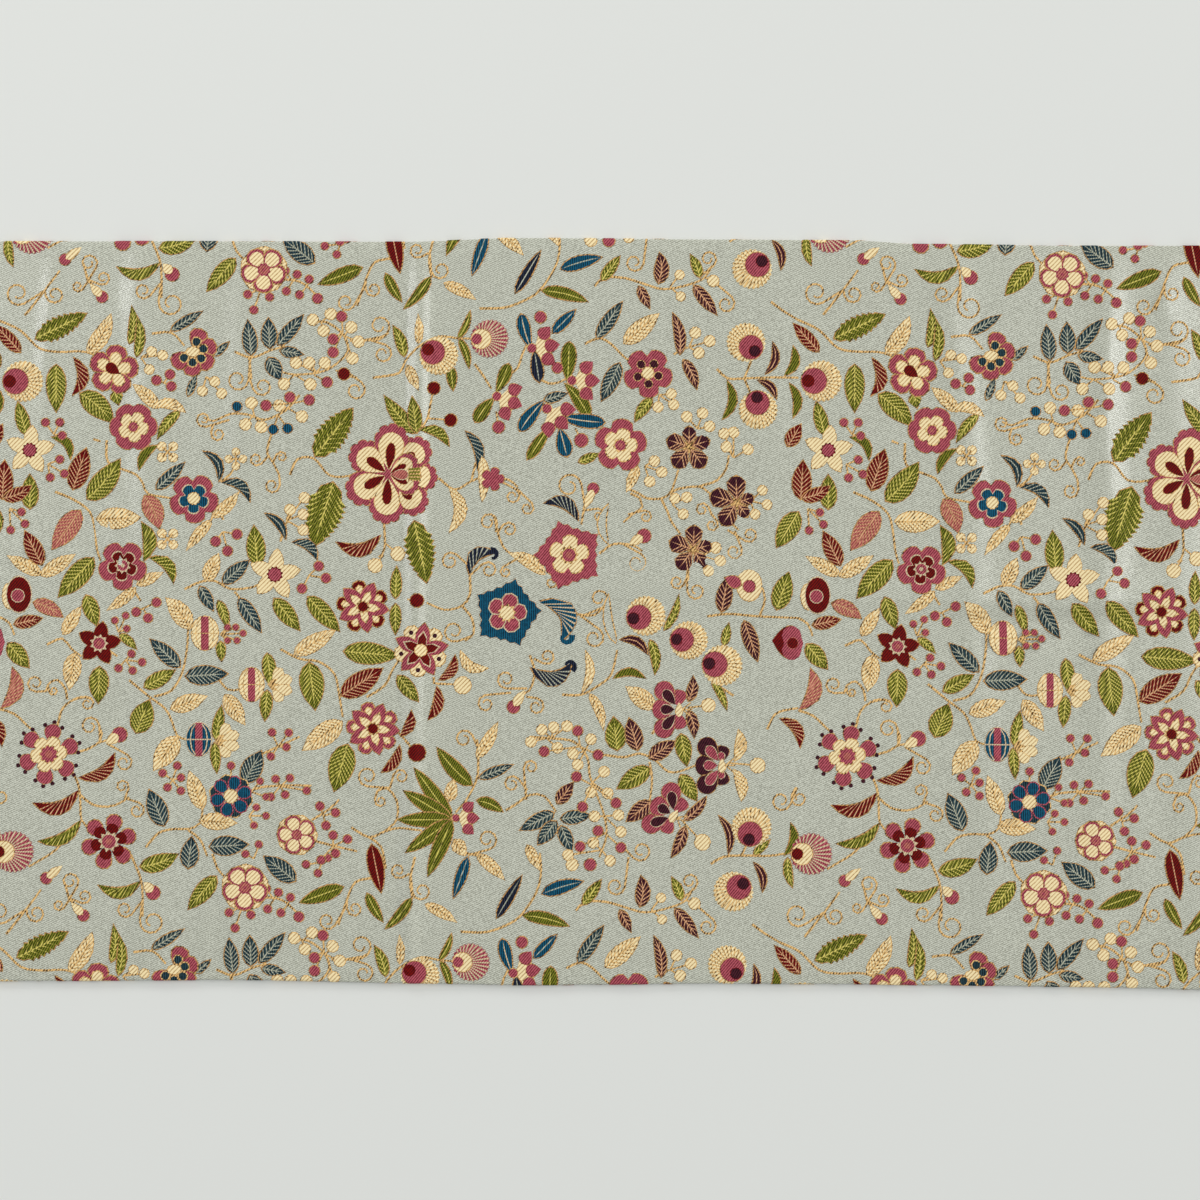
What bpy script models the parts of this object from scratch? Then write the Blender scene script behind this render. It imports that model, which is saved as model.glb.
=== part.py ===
"""Obi sash laid out flat: a patterned front cloth turned under all round, slip-stitched to a plain back cloth.

Frame: metres, +Z up. X runs along the sash, Y across it, and the origin is on the surface it lies on,
under the middle of the sash.
"""
import bisect
import math

import bmesh
import bpy

MM = 0.001

# Driving dimensions
LENGTH = 4300 * MM              # finished length of a full-width double-faced sash
FRONT_WALL = 1.2 * MM           # front cloth with its stiffening, pressed together
BACK_WALL = 1.0 * MM            # back cloth
SEAM_GAP = 0.3 * MM             # air between two pieces where they are sewn
HEM = 7 * MM                    # width of front cloth that is turned under all round
LOFT = 0.6 * MM                 # height of the front cloth over its pressed-down edges
EDGE_ROLL = 0.9 * MM            # rounding of the turned edge
DOME = 22 * MM                  # width over which the cloth falls to a long edge
EDGE_LOFT = 0.3                 # share of the loft and of the creases that is left at a long edge
RECESS_TOP = BACK_WALL + SEAM_GAP
THICKNESS = RECESS_TOP + FRONT_WALL

# The two long edges as the sash lies, millimetres: far is +Y, near is -Y.
EDGE_COLUMNS = ("x", "far", "near")
EDGES = (
    (-2150, 155.0, -155.0),
    (-1900, 154.2, -155.6),
    (-1612, 155.4, -154.6),
    (-1300, 156.0, -154.2),
    (-1075, 155.0, -155.4),
    (-800, 154.0, -156.2),
    (-537, 154.6, -155.2),
    (-350, 155.6, -154.0),
    (-173, 154.8, -154.1),
    (-73, 154.8, -153.6),
    (-4, 154.6, -155.0),
    (44, 156.2, -155.8),
    (127, 155.6, -155.2),
    (182, 155.2, -155.4),
    (213, 153.6, -155.8),
    (277, 152.9, -156.5),
    (328, 152.9, -157.7),
    (430, 153.6, -157.2),
    (537, 155.0, -155.8),
    (700, 157.0, -154.0),
    (860, 157.7, -153.4),
    (1075, 156.4, -154.8),
    (1300, 154.6, -155.8),
    (1612, 154.0, -156.4),
    (1880, 154.8, -155.4),
    (2150, 155.0, -155.0),
)

# Creases across the sash, millimetres. A storage fold is narrow and high, wear is wide and low, and a
# trough has a negative height. lean is how far the crease drifts in X from the middle to the far edge.
CREASE_COLUMNS = ("x", "lean", "half_width", "height")
CREASES = (
    (-1925, 4, 20, 0.5),
    (-1612, 2, 7, 1.0),
    (-1450, -5, 24, -0.4),
    (-1290, 3, 18, 0.6),
    (-1075, -2, 7, 1.1),
    (-930, 5, 22, 0.5),
    (-760, -4, 20, -0.4),
    (-537, 2, 7, 1.0),
    (-400, -6, 20, 0.5),
    (-250, 4, 16, -0.3),
    (-111, 0, 13, 0.8),
    (-73, 3, 10, 0.4),
    (0, 2.5, 6, 1.3),
    (150, -3, 16, 0.3),
    (232, -9, 12, 0.8),
    (287, 2, 11, 0.9),
    (320, -5, 13, 0.6),
    (420, 6, 20, -0.4),
    (537, -2, 7, 1.0),
    (690, 5, 22, 0.6),
    (880, -4, 18, 0.5),
    (1075, 2, 7, 1.1),
    (1230, -6, 22, -0.4),
    (1400, 4, 20, 0.6),
    (1612, -2, 7, 1.0),
    (1800, 5, 24, 0.5),
    (1990, -3, 18, -0.3),
)

# The crease along the sash where it is folded double to be wound on, from the middle to the +X end.
LONG_CREASE_Y = 5 * MM
LONG_CREASE_HALF_WIDTH = 8 * MM
LONG_CREASE_HEIGHT = 0.8 * MM
LONG_CREASE_START = 10 * MM
LONG_CREASE_FULL = 260 * MM

# Where a section's points lie across the sash: shares of the half width, from the far edge to the near
# one. The close ones in the middle carry the long crease.
ACROSS = (0.98, 0.93, 0.86, 0.5, 0.085, 0.032, -0.02, -0.5, -0.86, -0.93, -0.98)
# Where a crease's own sections lie: shares of its half width.
CREASE_STEPS = (-1.0, -0.45, 0.0, 0.45, 1.0)
CLOSEST_SECTIONS = 2.4 * MM
WIDEST_SECTIONS = 70 * MM
SMOOTH_BELOW = math.radians(40)

FRONT_COLOUR = (0.47, 0.47, 0.39, 1)
FRONT_ROUGHNESS = 0.5
BACK_COLOUR = (0.62, 0.60, 0.52, 1)
BACK_ROUGHNESS = 0.6


def named_rows(columns, rows):
    """A table's rows as dictionaries, by column name."""
    return [dict(zip(columns, row)) for row in rows]


EDGE_ROWS = named_rows(EDGE_COLUMNS, EDGES)
EDGE_X = [row["x"] * MM for row in EDGE_ROWS]
CREASE_ROWS = named_rows(CREASE_COLUMNS, CREASES)


def ease(t):
    """A soft step from 0 at t = 0 to 1 at t = 1."""
    t = min(max(t, 0.0), 1.0)
    return t * t * (3 - 2 * t)


def edge_y(x, side):
    """Y of the far or near edge at x, softly led from row to row."""
    right = min(max(bisect.bisect_left(EDGE_X, x), 1), len(EDGE_X) - 1)
    span = EDGE_X[right] - EDGE_X[right - 1]
    share = ease((x - EDGE_X[right - 1]) / span)
    low = EDGE_ROWS[right - 1][side]
    high = EDGE_ROWS[right][side]
    return (low + (high - low) * share) * MM


def crease_height(x, y):
    """Height of all creases over the lofted cloth at a point."""
    half = (edge_y(x, "far") - edge_y(x, "near")) / 2
    height = 0.0
    for row in CREASE_ROWS:
        middle = (row["x"] + row["lean"] * y / half) * MM
        height += row["height"] * MM * (1 - ease(abs(x - middle) / (row["half_width"] * MM)))
    grown = ease((x - LONG_CREASE_START) / (LONG_CREASE_FULL - LONG_CREASE_START))
    height += LONG_CREASE_HEIGHT * grown * (1 - ease(abs(y - LONG_CREASE_Y) / LONG_CREASE_HALF_WIDTH))
    return height


def top_z(x, y):
    """Height of the front cloth's upper side."""
    inside = min(edge_y(x, "far") - y, y - edge_y(x, "near"), LENGTH / 2 - abs(x))
    free = EDGE_LOFT + (1 - EDGE_LOFT) * ease(inside / DOME)
    return THICKNESS + free * (LOFT + crease_height(x, y))


def section_places():
    """X of every section: the ends, the turned hems, each crease's own sections, and fillers between."""
    end = LENGTH / 2
    fixed = [-end, -end + EDGE_ROLL, -end + HEM, end - HEM, end - EDGE_ROLL, end]
    creases = []
    for row in CREASE_ROWS:
        creases += [(row["x"] + step * row["half_width"]) * MM for step in CREASE_STEPS]
    places = list(fixed)
    for x in sorted(creases, key=abs):
        if min(abs(x - other) for other in places) >= CLOSEST_SECTIONS:
            places.append(x)
    places.sort()
    filled = [places[0]]
    for x in places[1:]:
        parts = math.ceil((x - filled[-1]) / WIDEST_SECTIONS)
        start = filled[-1]
        filled += [start + (x - start) * k / parts for k in range(1, parts + 1)]
    return filled


def lean_at(x, share):
    """How far a section's point moves in X to follow the crease that the section is on."""
    for row in CREASE_ROWS:
        if abs(x - row["x"] * MM) <= row["half_width"] * MM + EDGE_ROLL / 2:
            return row["lean"] * share * MM
    return 0.0


def outer_section(x):
    """The upper outline at x: up the far edge, over the top and down the near edge."""
    far = edge_y(x, "far")
    near = edge_y(x, "near")
    middle = (far + near) / 2
    half = (far - near) / 2
    at_end = LENGTH / 2 - abs(x) < EDGE_ROLL / 2
    drop = EDGE_ROLL if at_end else 0.0
    points = [(x, far - EDGE_ROLL, 0.0), (x, far, EDGE_ROLL)]
    points.append((x, far, top_z(x, far) - EDGE_ROLL))
    rolled_far = far - EDGE_ROLL
    points.append((x, rolled_far, top_z(x, rolled_far) - drop))
    for share in ACROSS:
        y = middle + half * share
        px = x + lean_at(x, share)
        points.append((px, y, top_z(px, y) - drop))
    rolled_near = near + EDGE_ROLL
    points.append((x, rolled_near, top_z(x, rolled_near) - drop))
    points.append((x, near, top_z(x, near) - EDGE_ROLL))
    points += [(x, near, EDGE_ROLL), (x, near + EDGE_ROLL, 0.0)]
    return points


def recess_section(x):
    """The hollow that takes the back cloth, at x: a wall's thickness under the outer section."""
    far = edge_y(x, "far") - HEM
    near = edge_y(x, "near") + HEM
    middle = (far + near) / 2
    half = (edge_y(x, "far") - edge_y(x, "near")) / 2
    points = [(x, far, 0.0), (x, far, top_z(x, far) - FRONT_WALL)]
    for share in ACROSS:
        y = middle + half * share
        if near + HEM / 2 < y < far - HEM / 2:
            px = x + lean_at(x, share)
            points.append((px, y, top_z(px, y) - FRONT_WALL))
    points += [(x, near, top_z(x, near) - FRONT_WALL), (x, near, 0.0)]
    return points


def add_points(bm, points):
    """New vertices at the points, in order."""
    return [bm.verts.new(point) for point in points]


def join_sections(bm, sections):
    """Quads between each section and the next."""
    for one, two in zip(sections, sections[1:]):
        for k in range(len(one) - 1):
            bm.faces.new((one[k], one[k + 1], two[k + 1], two[k]))


def finish_object(name, bm, colour, roughness):
    """A named object from a closed bmesh, with its own material."""
    bmesh.ops.recalc_face_normals(bm, faces=bm.faces)
    mesh = bpy.data.meshes.new(name)
    bm.to_mesh(mesh)
    bm.free()
    material = bpy.data.materials.new(name)
    material.use_nodes = True
    shader = material.node_tree.nodes["Principled BSDF"]
    shader.inputs["Base Color"].default_value = colour
    shader.inputs["Roughness"].default_value = roughness
    shader.inputs["Metallic"].default_value = 0.0
    material.diffuse_color = colour
    mesh.materials.append(material)
    mesh.shade_smooth()
    mesh.set_sharp_from_angle(angle=SMOOTH_BELOW)
    thing = bpy.data.objects.new(name, mesh)
    bpy.context.collection.objects.link(thing)
    return thing


def make_front_cloth(places):
    """The front cloth: a wall over the whole sash, and its hem turned under and pressed flat all round."""
    bm = bmesh.new()
    outer = [add_points(bm, outer_section(x)) for x in places]
    first = places.index(-LENGTH / 2 + HEM)
    last = places.index(LENGTH / 2 - HEM)
    recess = [add_points(bm, recess_section(x)) for x in places[first:last + 1]]
    join_sections(bm, outer)
    join_sections(bm, recess)
    bm.faces.new(outer[0])
    bm.faces.new(outer[-1])
    bm.faces.new(recess[0])
    bm.faces.new(recess[-1])
    for side in (0, -1):
        under = [section[side] for section in outer[first:last + 1]]
        lip = [section[side] for section in recess]
        join_sections(bm, [under, lip])
    for stretch, lip in ((outer[:first + 1], recess[0]), (outer[:last - 1:-1], recess[-1])):
        far_side = [section[0] for section in stretch]
        near_side = [section[-1] for section in stretch]
        bm.faces.new(far_side + [lip[0], lip[-1]] + near_side[::-1])
    return finish_object("front_cloth", bm, FRONT_COLOUR, FRONT_ROUGHNESS)


def make_back_cloth(places):
    """The back cloth: a flat wall that fills the hollow between the front cloth's hems."""
    bm = bmesh.new()
    inset = HEM + SEAM_GAP
    end = LENGTH / 2 - inset
    inner = [x for x in places if abs(x) < end - SEAM_GAP]
    sections = []
    for x in [-end] + inner + [end]:
        far = edge_y(x, "far") - inset
        near = edge_y(x, "near") + inset
        ring = [(x, far, 0.0), (x, far, BACK_WALL), (x, near, BACK_WALL), (x, near, 0.0)]
        sections.append(add_points(bm, ring))
    join_sections(bm, sections)
    join_sections(bm, [[section[-1], section[0]] for section in sections])
    bm.faces.new(sections[0])
    bm.faces.new(sections[-1])
    return finish_object("back_cloth", bm, BACK_COLOUR, BACK_ROUGHNESS)


def main():
    """Clears the scene and makes the two pieces."""
    for thing in list(bpy.data.objects):
        bpy.data.objects.remove(thing)
    places = section_places()
    make_front_cloth(places)
    make_back_cloth(places)


main()
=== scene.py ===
"""The obi sash as the photo shows it: brocade front cloth, plain back cloth, slip stitches, light and camera.

Lengths are millimetres until a mesh is made. The frame is the CAD's: X along the sash, Y across it, +Z up.
"""
import cmath
import math
import random

import bpy
import numpy as np
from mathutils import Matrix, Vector, geometry


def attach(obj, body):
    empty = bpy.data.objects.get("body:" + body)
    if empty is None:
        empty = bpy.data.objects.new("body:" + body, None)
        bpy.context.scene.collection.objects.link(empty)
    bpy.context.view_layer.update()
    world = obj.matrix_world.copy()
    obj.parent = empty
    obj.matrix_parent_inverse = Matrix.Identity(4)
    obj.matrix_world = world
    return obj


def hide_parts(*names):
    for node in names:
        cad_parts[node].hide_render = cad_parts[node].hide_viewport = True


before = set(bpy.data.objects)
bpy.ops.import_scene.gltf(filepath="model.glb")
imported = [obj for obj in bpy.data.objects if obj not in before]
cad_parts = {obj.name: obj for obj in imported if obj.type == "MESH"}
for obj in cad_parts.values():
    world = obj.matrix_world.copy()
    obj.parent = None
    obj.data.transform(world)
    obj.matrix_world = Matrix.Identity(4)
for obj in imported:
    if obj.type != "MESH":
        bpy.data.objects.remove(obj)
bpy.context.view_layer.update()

MM = 0.001

# ---- The cloth's form ---------------------------------------------------------------------------------
# The named values are the solids' own, but for five creases, which are a little higher or lower to match
# the sheen, and for the wrinkles, which the solids leave out.
HALF = 2150.0                   # half the length
WIDTH = 310.0                   # across the chart, which is laid between the two edges
EDGE_ROLL = 0.9                 # radius of the turned edge
HEM = 7.0                       # cloth turned under all round
HEM_MITRE = 20.0                # the last stretch of a hem, which is drawn in to its mitre
LOFT = 0.6                      # height of the middle over the pressed-down edges
DOME = 22.0                     # width over which the cloth falls to its edges
EDGE_LOFT = 0.3                 # share of loft and creases left at an edge
THICKNESS = 2.5
UNDERSIDE = 0.25                # height of the hem's lower side: its threads reach down to the floor
CLOTH = 0.6                     # one layer of the brocade

EDGES = np.array((              # x, far edge, near edge
    (-2150, 155.0, -155.0), (-1900, 154.2, -155.6), (-1612, 155.4, -154.6), (-1300, 156.0, -154.2),
    (-1075, 155.0, -155.4), (-800, 154.0, -156.2), (-537, 154.6, -155.2), (-350, 155.6, -154.0),
    (-173, 154.8, -154.1), (-73, 154.8, -153.6), (-4, 154.6, -155.0), (44, 156.2, -155.8),
    (127, 155.6, -155.2), (182, 155.2, -155.4), (213, 153.6, -155.8), (277, 152.9, -156.5),
    (328, 152.9, -157.7), (430, 153.6, -157.2), (537, 155.0, -155.8), (700, 157.0, -154.0),
    (860, 157.7, -153.4), (1075, 156.4, -154.8), (1300, 154.6, -155.8), (1612, 154.0, -156.4),
    (1880, 154.8, -155.4), (2150, 155.0, -155.0),
))
CREASES = (                     # x, lean, half width, height: folds across the sash
    (-1925, 4, 20, 0.5), (-1612, 2, 7, 1.0), (-1450, -5, 24, -0.4), (-1290, 3, 18, 0.6), (-1075, -2, 7, 1.1),
    (-930, 5, 22, 0.5), (-760, -4, 20, -0.4), (-537, 2, 7, 1.0), (-400, -6, 20, 0.5), (-250, 4, 16, -0.3),
    (-111, 0, 13, 1.0), (-73, 3, 10, 0.65), (0, 2.5, 6, 1.3), (150, -3, 16, 0.3), (232, -9, 12, 0.65),
    (287, 2, 11, 0.7), (320, -5, 13, 0.4), (420, 6, 20, -0.4), (537, -2, 7, 1.0), (690, 5, 22, 0.6),
    (880, -4, 18, 0.5), (1075, 2, 7, 1.1), (1230, -6, 22, -0.4), (1400, 4, 20, 0.6), (1612, -2, 7, 1.0),
    (1800, 5, 24, 0.5), (1990, -3, 18, -0.3),
)
LONG_CREASE_Y = 5.0              # the fold along the sash: it grows from its start to its full height
LONG_CREASE_HALF_WIDTH = 8.0
LONG_CREASE_HEIGHT = 0.8
LONG_CREASE_START = 10.0
LONG_CREASE_FULL = 260.0

SEEN_START, SEEN_END = -180, 335  # the stretch that the photo shows, and a little more
WRINKLE_PITCH = 50              # between the wrinkles of the hidden stretches
WRINKLES = [                    # wrinkles in the photo: from x and y, to x and y, half width, height
    (-144, -88, -158, -146, 6, 0.6), (-45, -28, -46, -84, 8, 0.45), (222, -48, 224, -124, 7, 0.3),
    (251, -116, 250, -160, 5, 0.3), (303, -8, 300, -160, 9, 0.35), (315, 160, 312, 122, 6, 0.35),
    (-176, 25, -116, 27, 8, 0.3), (214, 158, 229, 84, 5, 0.35), (229, 96, 239, 20, 5, 0.35),
    (291, 136, 286, 70, 5, 0.4), (285, 84, 299, 6, 5, 0.45), (15, 158, 13, -158, 8, -0.3),
    (-87, -108, -88, -158, 6, 0.5), (-116, 158, -119, 116, 6, 0.45), (150, -60, 156, -150, 9, 0.2),
    (60, 150, 70, 96, 9, 0.15), (20, 10, 200, 11, 8, 0.4), (212, -6, 308, -4, 7, -1.1),
    (-150, 156, -156, 84, 5, 0.7), (-128, 60, -120, 20, 5, 0.6), (303, 156, 318, 110, 5, 0.3),
]


def ease(t):
    """A soft step from 0 at t = 0 to 1 at t = 1."""
    t = np.clip(t, 0.0, 1.0)
    return t * t * (3 - 2 * t)


def hidden_wrinkles():
    """Wrinkles like the photo's on the rest of the sash."""
    draw = random.Random(11)
    rows = []
    for x in range(-2100, 2101, WRINKLE_PITCH):
        if SEEN_START < x < SEEN_END:
            continue
        x1, y1 = x + draw.uniform(-22, 22), draw.uniform(-120, 120)
        long = draw.uniform(35, 90)
        way = math.radians(draw.gauss(90, 14))
        height = draw.uniform(0.18, 0.38) * draw.choice((1, 1, 1, -1))
        half_width = draw.uniform(5, 9)
        rows.append((x1, y1, x1 + long * math.cos(way), y1 + long * math.sin(way), half_width, height))
    return rows


WRINKLES += hidden_wrinkles()


def edge_y(x, side):
    """Y of the far (1) or near (2) edge at x."""
    right = np.clip(np.searchsorted(EDGES[:, 0], x), 1, len(EDGES) - 1)
    start, end = EDGES[right - 1], EDGES[right]
    share = ease((x - start[..., 0]) / (end[..., 0] - start[..., 0]))
    return start[..., side] + (end[..., side] - start[..., side]) * share


def lean_share(x, y):
    """Y as a share of the half width there, from -1 to 1."""
    return 2 * y / (edge_y(x, 1) - edge_y(x, 2))


def crease_height(x, y):
    """Height of all creases and wrinkles over the lofted cloth."""
    share = lean_share(x, y)
    height = np.zeros(np.shape(x))
    for middle, lean, half_width, top in CREASES:
        away = np.abs(x - middle - lean * share)
        height += top * (1 - ease(away / half_width))
    grown = ease((x - LONG_CREASE_START) / (LONG_CREASE_FULL - LONG_CREASE_START))
    height += LONG_CREASE_HEIGHT * grown * (1 - ease(np.abs(y - LONG_CREASE_Y) / LONG_CREASE_HALF_WIDTH))
    for x1, y1, x2, y2, half_width, top in WRINKLES:
        long = math.hypot(x2 - x1, y2 - y1)
        ux, uy = (x2 - x1) / long, (y2 - y1) / long
        along = ((x - x1) * ux + (y - y1) * uy) / long
        away = np.abs((y - y1) * ux - (x - x1) * uy)
        ends = ease(along / 0.3) * ease((1 - along) / 0.3)
        height += top * ends * (1 - ease(away / half_width))
    return height


def top_z(x, y):
    """Height of the front cloth's upper side."""
    inside_by = np.minimum(np.minimum(edge_y(x, 1) - y, y - edge_y(x, 2)), HALF - np.abs(x))
    free = EDGE_LOFT + (1 - EDGE_LOFT) * ease(inside_by / DOME)
    return THICKNESS + free * (LOFT + crease_height(x, y))


# The turned edge in rings, from the rim of the upper side to the lip of the hem underneath: how far out a
# ring lies, its height from the upper or the lower side, and its normal.
TURN = [math.radians(a) for a in (0, 30, 60, 90)]
RING_OUT = [EDGE_ROLL * math.sin(a) for a in TURN + TURN[::-1]] + [EDGE_ROLL - HEM]
RING_UP = [math.cos(a) for a in TURN] + [-math.cos(a) for a in TURN[::-1]] + [-1.0]
RING_SIDE = [math.sin(a) for a in TURN + TURN[::-1]] + [0.0]
ARC = EDGE_ROLL * math.pi / 6
UPRIGHT = 0.9                   # about the height of the straight stretch between the two turns
RING_PATH = [0, ARC, 2 * ARC, 3 * ARC] + [k * ARC + UPRIGHT for k in (3, 4, 5, 6)]
RING_PATH.append(RING_PATH[-1] + HEM - EDGE_ROLL)
LIP = 8                         # the last ring: the hem's lip


def ring_height(ring, z_top):
    """Height of a ring under a rim whose height is z_top."""
    if ring < 4:
        return z_top - EDGE_ROLL + EDGE_ROLL * RING_UP[ring]
    if ring == LIP:
        return np.full(np.shape(z_top), UNDERSIDE)
    return np.full(np.shape(z_top), UNDERSIDE + EDGE_ROLL + EDGE_ROLL * RING_UP[ring])


def drawn_in(gap, inward):
    """A point's distance to the corner on a ring that lies inward of the edge, for the hem's mitre."""
    span = HEM_MITRE - EDGE_ROLL
    share = np.clip((HEM_MITRE - gap) / span, 0, 1)
    return np.where(gap < HEM_MITRE, HEM_MITRE - share * (HEM_MITRE - inward), gap)


def ring_place(ring, x, y, out_x, out_y):
    """Places on a ring for rim points at x, y, whose edges lie towards out_x, out_y (each -1, 0 or 1)."""
    far, near = edge_y(x, 1), edge_y(x, 2)
    z_top = top_z(x, y)
    out = RING_OUT[ring]
    inward = EDGE_ROLL - out
    end_gap = drawn_in(HALF - np.abs(x), inward)
    far_gap, near_gap = drawn_in(far - y, inward), drawn_in(y - near, inward)
    new_x = np.where(out_x != 0, x + out_x * out, np.sign(x) * (HALF - end_gap))
    side_y = np.where(y > (far + near) / 2, far - far_gap, near + near_gap)
    new_y = np.where(out_y != 0, y + out_y * out, side_y)
    return np.stack([new_x, new_y, ring_height(ring, z_top)], axis=-1)


def ring_normal(ring, out_x, out_y):
    """The cloth's outward side at a ring."""
    length = np.maximum(np.hypot(out_x, out_y), 1e-9)
    up = np.full(np.shape(length), RING_UP[ring])
    return np.stack([out_x / length * RING_SIDE[ring], out_y / length * RING_SIDE[ring], up], axis=-1)


def top_normal(x, y):
    """Normal of the upper side."""
    step = 0.2
    slope_x = (top_z(x + step, y) - top_z(x - step, y)) / (2 * step)
    slope_y = (top_z(x, y + step) - top_z(x, y - step)) / (2 * step)
    normal = np.stack([-slope_x, -slope_y, np.ones(np.shape(slope_x))], axis=-1)
    return normal / np.linalg.norm(normal, axis=-1, keepdims=True)


def finest(places, rows, widest):
    """The widest step that still follows each row's curve (middle, half width, height, reach)."""
    steps = np.full(len(places), float(widest))
    for middle, half_width, height, reach in rows:
        limit = 0.29 * half_width / math.sqrt(abs(height))  # stays within 0.07 mm of the curve
        near = np.abs(places - middle) < half_width + reach
        steps[near] = np.minimum(steps[near], limit)
    return steps


SEEN_STEP = 5                   # the widest step where the photo looks
EDGE_STEP = 5.2                 # the step across the sash near its edges
RULER_X = np.arange(-HALF - 20, HALF + 20, 0.5)
RULER_Y = np.arange(-170.0, 170.0, 0.5)
ROWS_X = [(x, half_width, height, abs(lean)) for x, lean, half_width, height in CREASES]
ROWS_X += [((x1 + x2) / 2, half_width, height * 0.75, abs(x2 - x1) / 2)
           for x1, y1, x2, y2, half_width, height in WRINKLES if abs(x2 - x1) < abs(y2 - y1)]
ROWS_Y = [(LONG_CREASE_Y, LONG_CREASE_HALF_WIDTH, LONG_CREASE_HEIGHT, 0)]
STEP_X = finest(RULER_X, ROWS_X, 20)
STEP_X = np.where((RULER_X > SEEN_START) & (RULER_X < SEEN_END), np.minimum(STEP_X, SEEN_STEP), STEP_X)
STEP_Y = finest(RULER_Y, ROWS_Y, 15)
STEP_Y[np.abs(RULER_Y) > WIDTH / 2 - DOME] = EDGE_STEP


def step_x(x):
    """The widest step along the sash at x."""
    return np.interp(x, RULER_X, STEP_X)


def step_y(y):
    """The widest step across the sash at y."""
    return np.interp(y, RULER_Y, STEP_Y)


def marched(start, end, allowed):
    """Places from start to end, no further apart than is allowed there."""
    places = [start]
    while places[-1] < end:
        here = places[-1]
        places.append(here + min(allowed(here), allowed(here + allowed(here))))
    places = np.array(places)
    return start + (places - start) * (end - start) / (places[-1] - start)


# ---- Meshes -------------------------------------------------------------------------------------------
def make_piece(name, points, faces, material):
    """A smooth mesh object from points in millimetres and faces."""
    mesh = bpy.data.meshes.new(name)
    mesh.from_pydata((np.asarray(points) * MM).tolist(), [], faces)
    mesh.materials.append(material)
    mesh.update()
    mesh.shade_smooth()
    piece = bpy.data.objects.new(name, mesh)
    bpy.context.scene.collection.objects.link(piece)
    return piece


def thickened(piece, thickness):
    """Gives a sheet its thickness, inwards, and applies it."""
    modifier = piece.modifiers.new("thickness", "SOLIDIFY")
    modifier.thickness = thickness * MM
    modifier.offset = -1.0
    solid = bpy.data.meshes.new_from_object(piece.evaluated_get(bpy.context.evaluated_depsgraph_get()))
    piece.modifiers.clear()
    piece.data = solid


def grid_faces(rows, columns):
    """Quads of a grid whose points are numbered row by row."""
    at = np.arange(rows * columns).reshape(rows, columns)
    return np.stack([at[:-1, :-1], at[:-1, 1:], at[1:, 1:], at[1:, :-1]], axis=-1).reshape(-1, 4)


def front_ground():
    """The brocade's ground: the upper side, its rolled edges and the hem turned under, all one sheet."""
    half = WIDTH / 2 - EDGE_ROLL
    across = marched(-half, half, lambda y: float(step_y(y)))
    shares = (across + half) / (2 * half)
    columns = marched(-HALF + EDGE_ROLL, HALF - EDGE_ROLL, lambda x: float(step_x(x)))
    crease_x = [-HALF] + [row[0] for row in CREASES] + [HALF]
    crease_lean = [0] + [row[1] for row in CREASES] + [0]
    lean = np.interp(columns, crease_x, crease_lean)
    x = columns[None, :] + lean[None, :] * (2 * shares[:, None] - 1)
    far, near = edge_y(x, 1) - EDGE_ROLL, edge_y(x, 2) + EDGE_ROLL
    y = near + (far - near) * shares[:, None]
    points = [np.stack([x, y, top_z(x, y)], axis=-1).reshape(-1, 3)]
    faces = [grid_faces(len(shares), len(columns))]
    high, wide = x.shape
    at = np.arange(high * wide).reshape(high, wide)
    rim = np.concatenate([at[0, :-1], at[:-1, -1], at[-1, :0:-1], at[:0:-1, 0]])
    rim_x, rim_y = x.ravel()[rim], y.ravel()[rim]
    row, column = rim // wide, rim % wide
    out_y = np.where(row == 0, -1, np.where(row == high - 1, 1, 0))
    out_x = np.where(column == 0, -1, np.where(column == wide - 1, 1, 0))
    last = rim
    count = high * wide
    for ring in range(1, LIP + 1):
        points.append(ring_place(ring, rim_x, rim_y, out_x, out_y))
        new = count + np.arange(len(rim))
        count += len(rim)
        faces.append(np.stack([last, new, np.roll(new, -1), np.roll(last, -1)], axis=-1))
        last = new
    return np.concatenate(points), np.concatenate(faces)


# ---- The weaver's chart -------------------------------------------------------------------------------
# One repeat of the brocade, drawn from ordinary motifs in millimetres: x runs along the sash and t from
# the far edge towards the near one. A point is a complex number, x + t * 1j, and a turn is clockwise as
# the chart is seen. Later patches lie over earlier ones.
RIM = 0.52                      # gold outline round a motif
STEM = 1.05
TWIG = 0.75
TENDRIL_TURNS = 1.2
patches = []
# The stretch that the photo shows is drawn finer than the rest: millimetres between veins and their width,
# shares of the corners of discs and of the steps of lobes, a stem's step, whether stems have a raised
# middle, and how far from straight a border's run may be.
DETAILS = ("pitch", "vein", "corners", "steps", "step", "cord", "straight")
FINE = dict(zip(DETAILS, (2.6, 0.47, 1.0, 1.0, 2.6, True, 0.04)))
PLAIN = dict(zip(DETAILS, (4.4, 0.7, 0.6, 0.6, 5.0, False, 0.18)))
detail = dict(FINE)


def paint(thread, points):
    """Adds a patch of one thread colour to the chart."""
    patches.append((thread, points))


def turned(degrees, length=1.0):
    """A step of some length in a direction: 0 is along the sash, 90 towards the near edge."""
    return cmath.rect(length, math.radians(degrees))


def smooth_way(points):
    """Points about a step apart on a soft curve through the given ones (Catmull-Rom)."""
    points = [2 * points[0] - points[1]] + list(points) + [2 * points[-1] - points[-2]]
    way = []
    for a, b, c, d in zip(points, points[1:], points[2:], points[3:]):
        count = max(1, round(abs(c - b) / detail["step"]))
        for k in range(count):
            u = k / count
            way.append(0.5 * (2 * b + (c - a) * u + (2 * a - 5 * b + 4 * c - d) * u * u
                              + (3 * b - a - 3 * c + d) * u ** 3))
    return way + [points[-2]]


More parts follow.
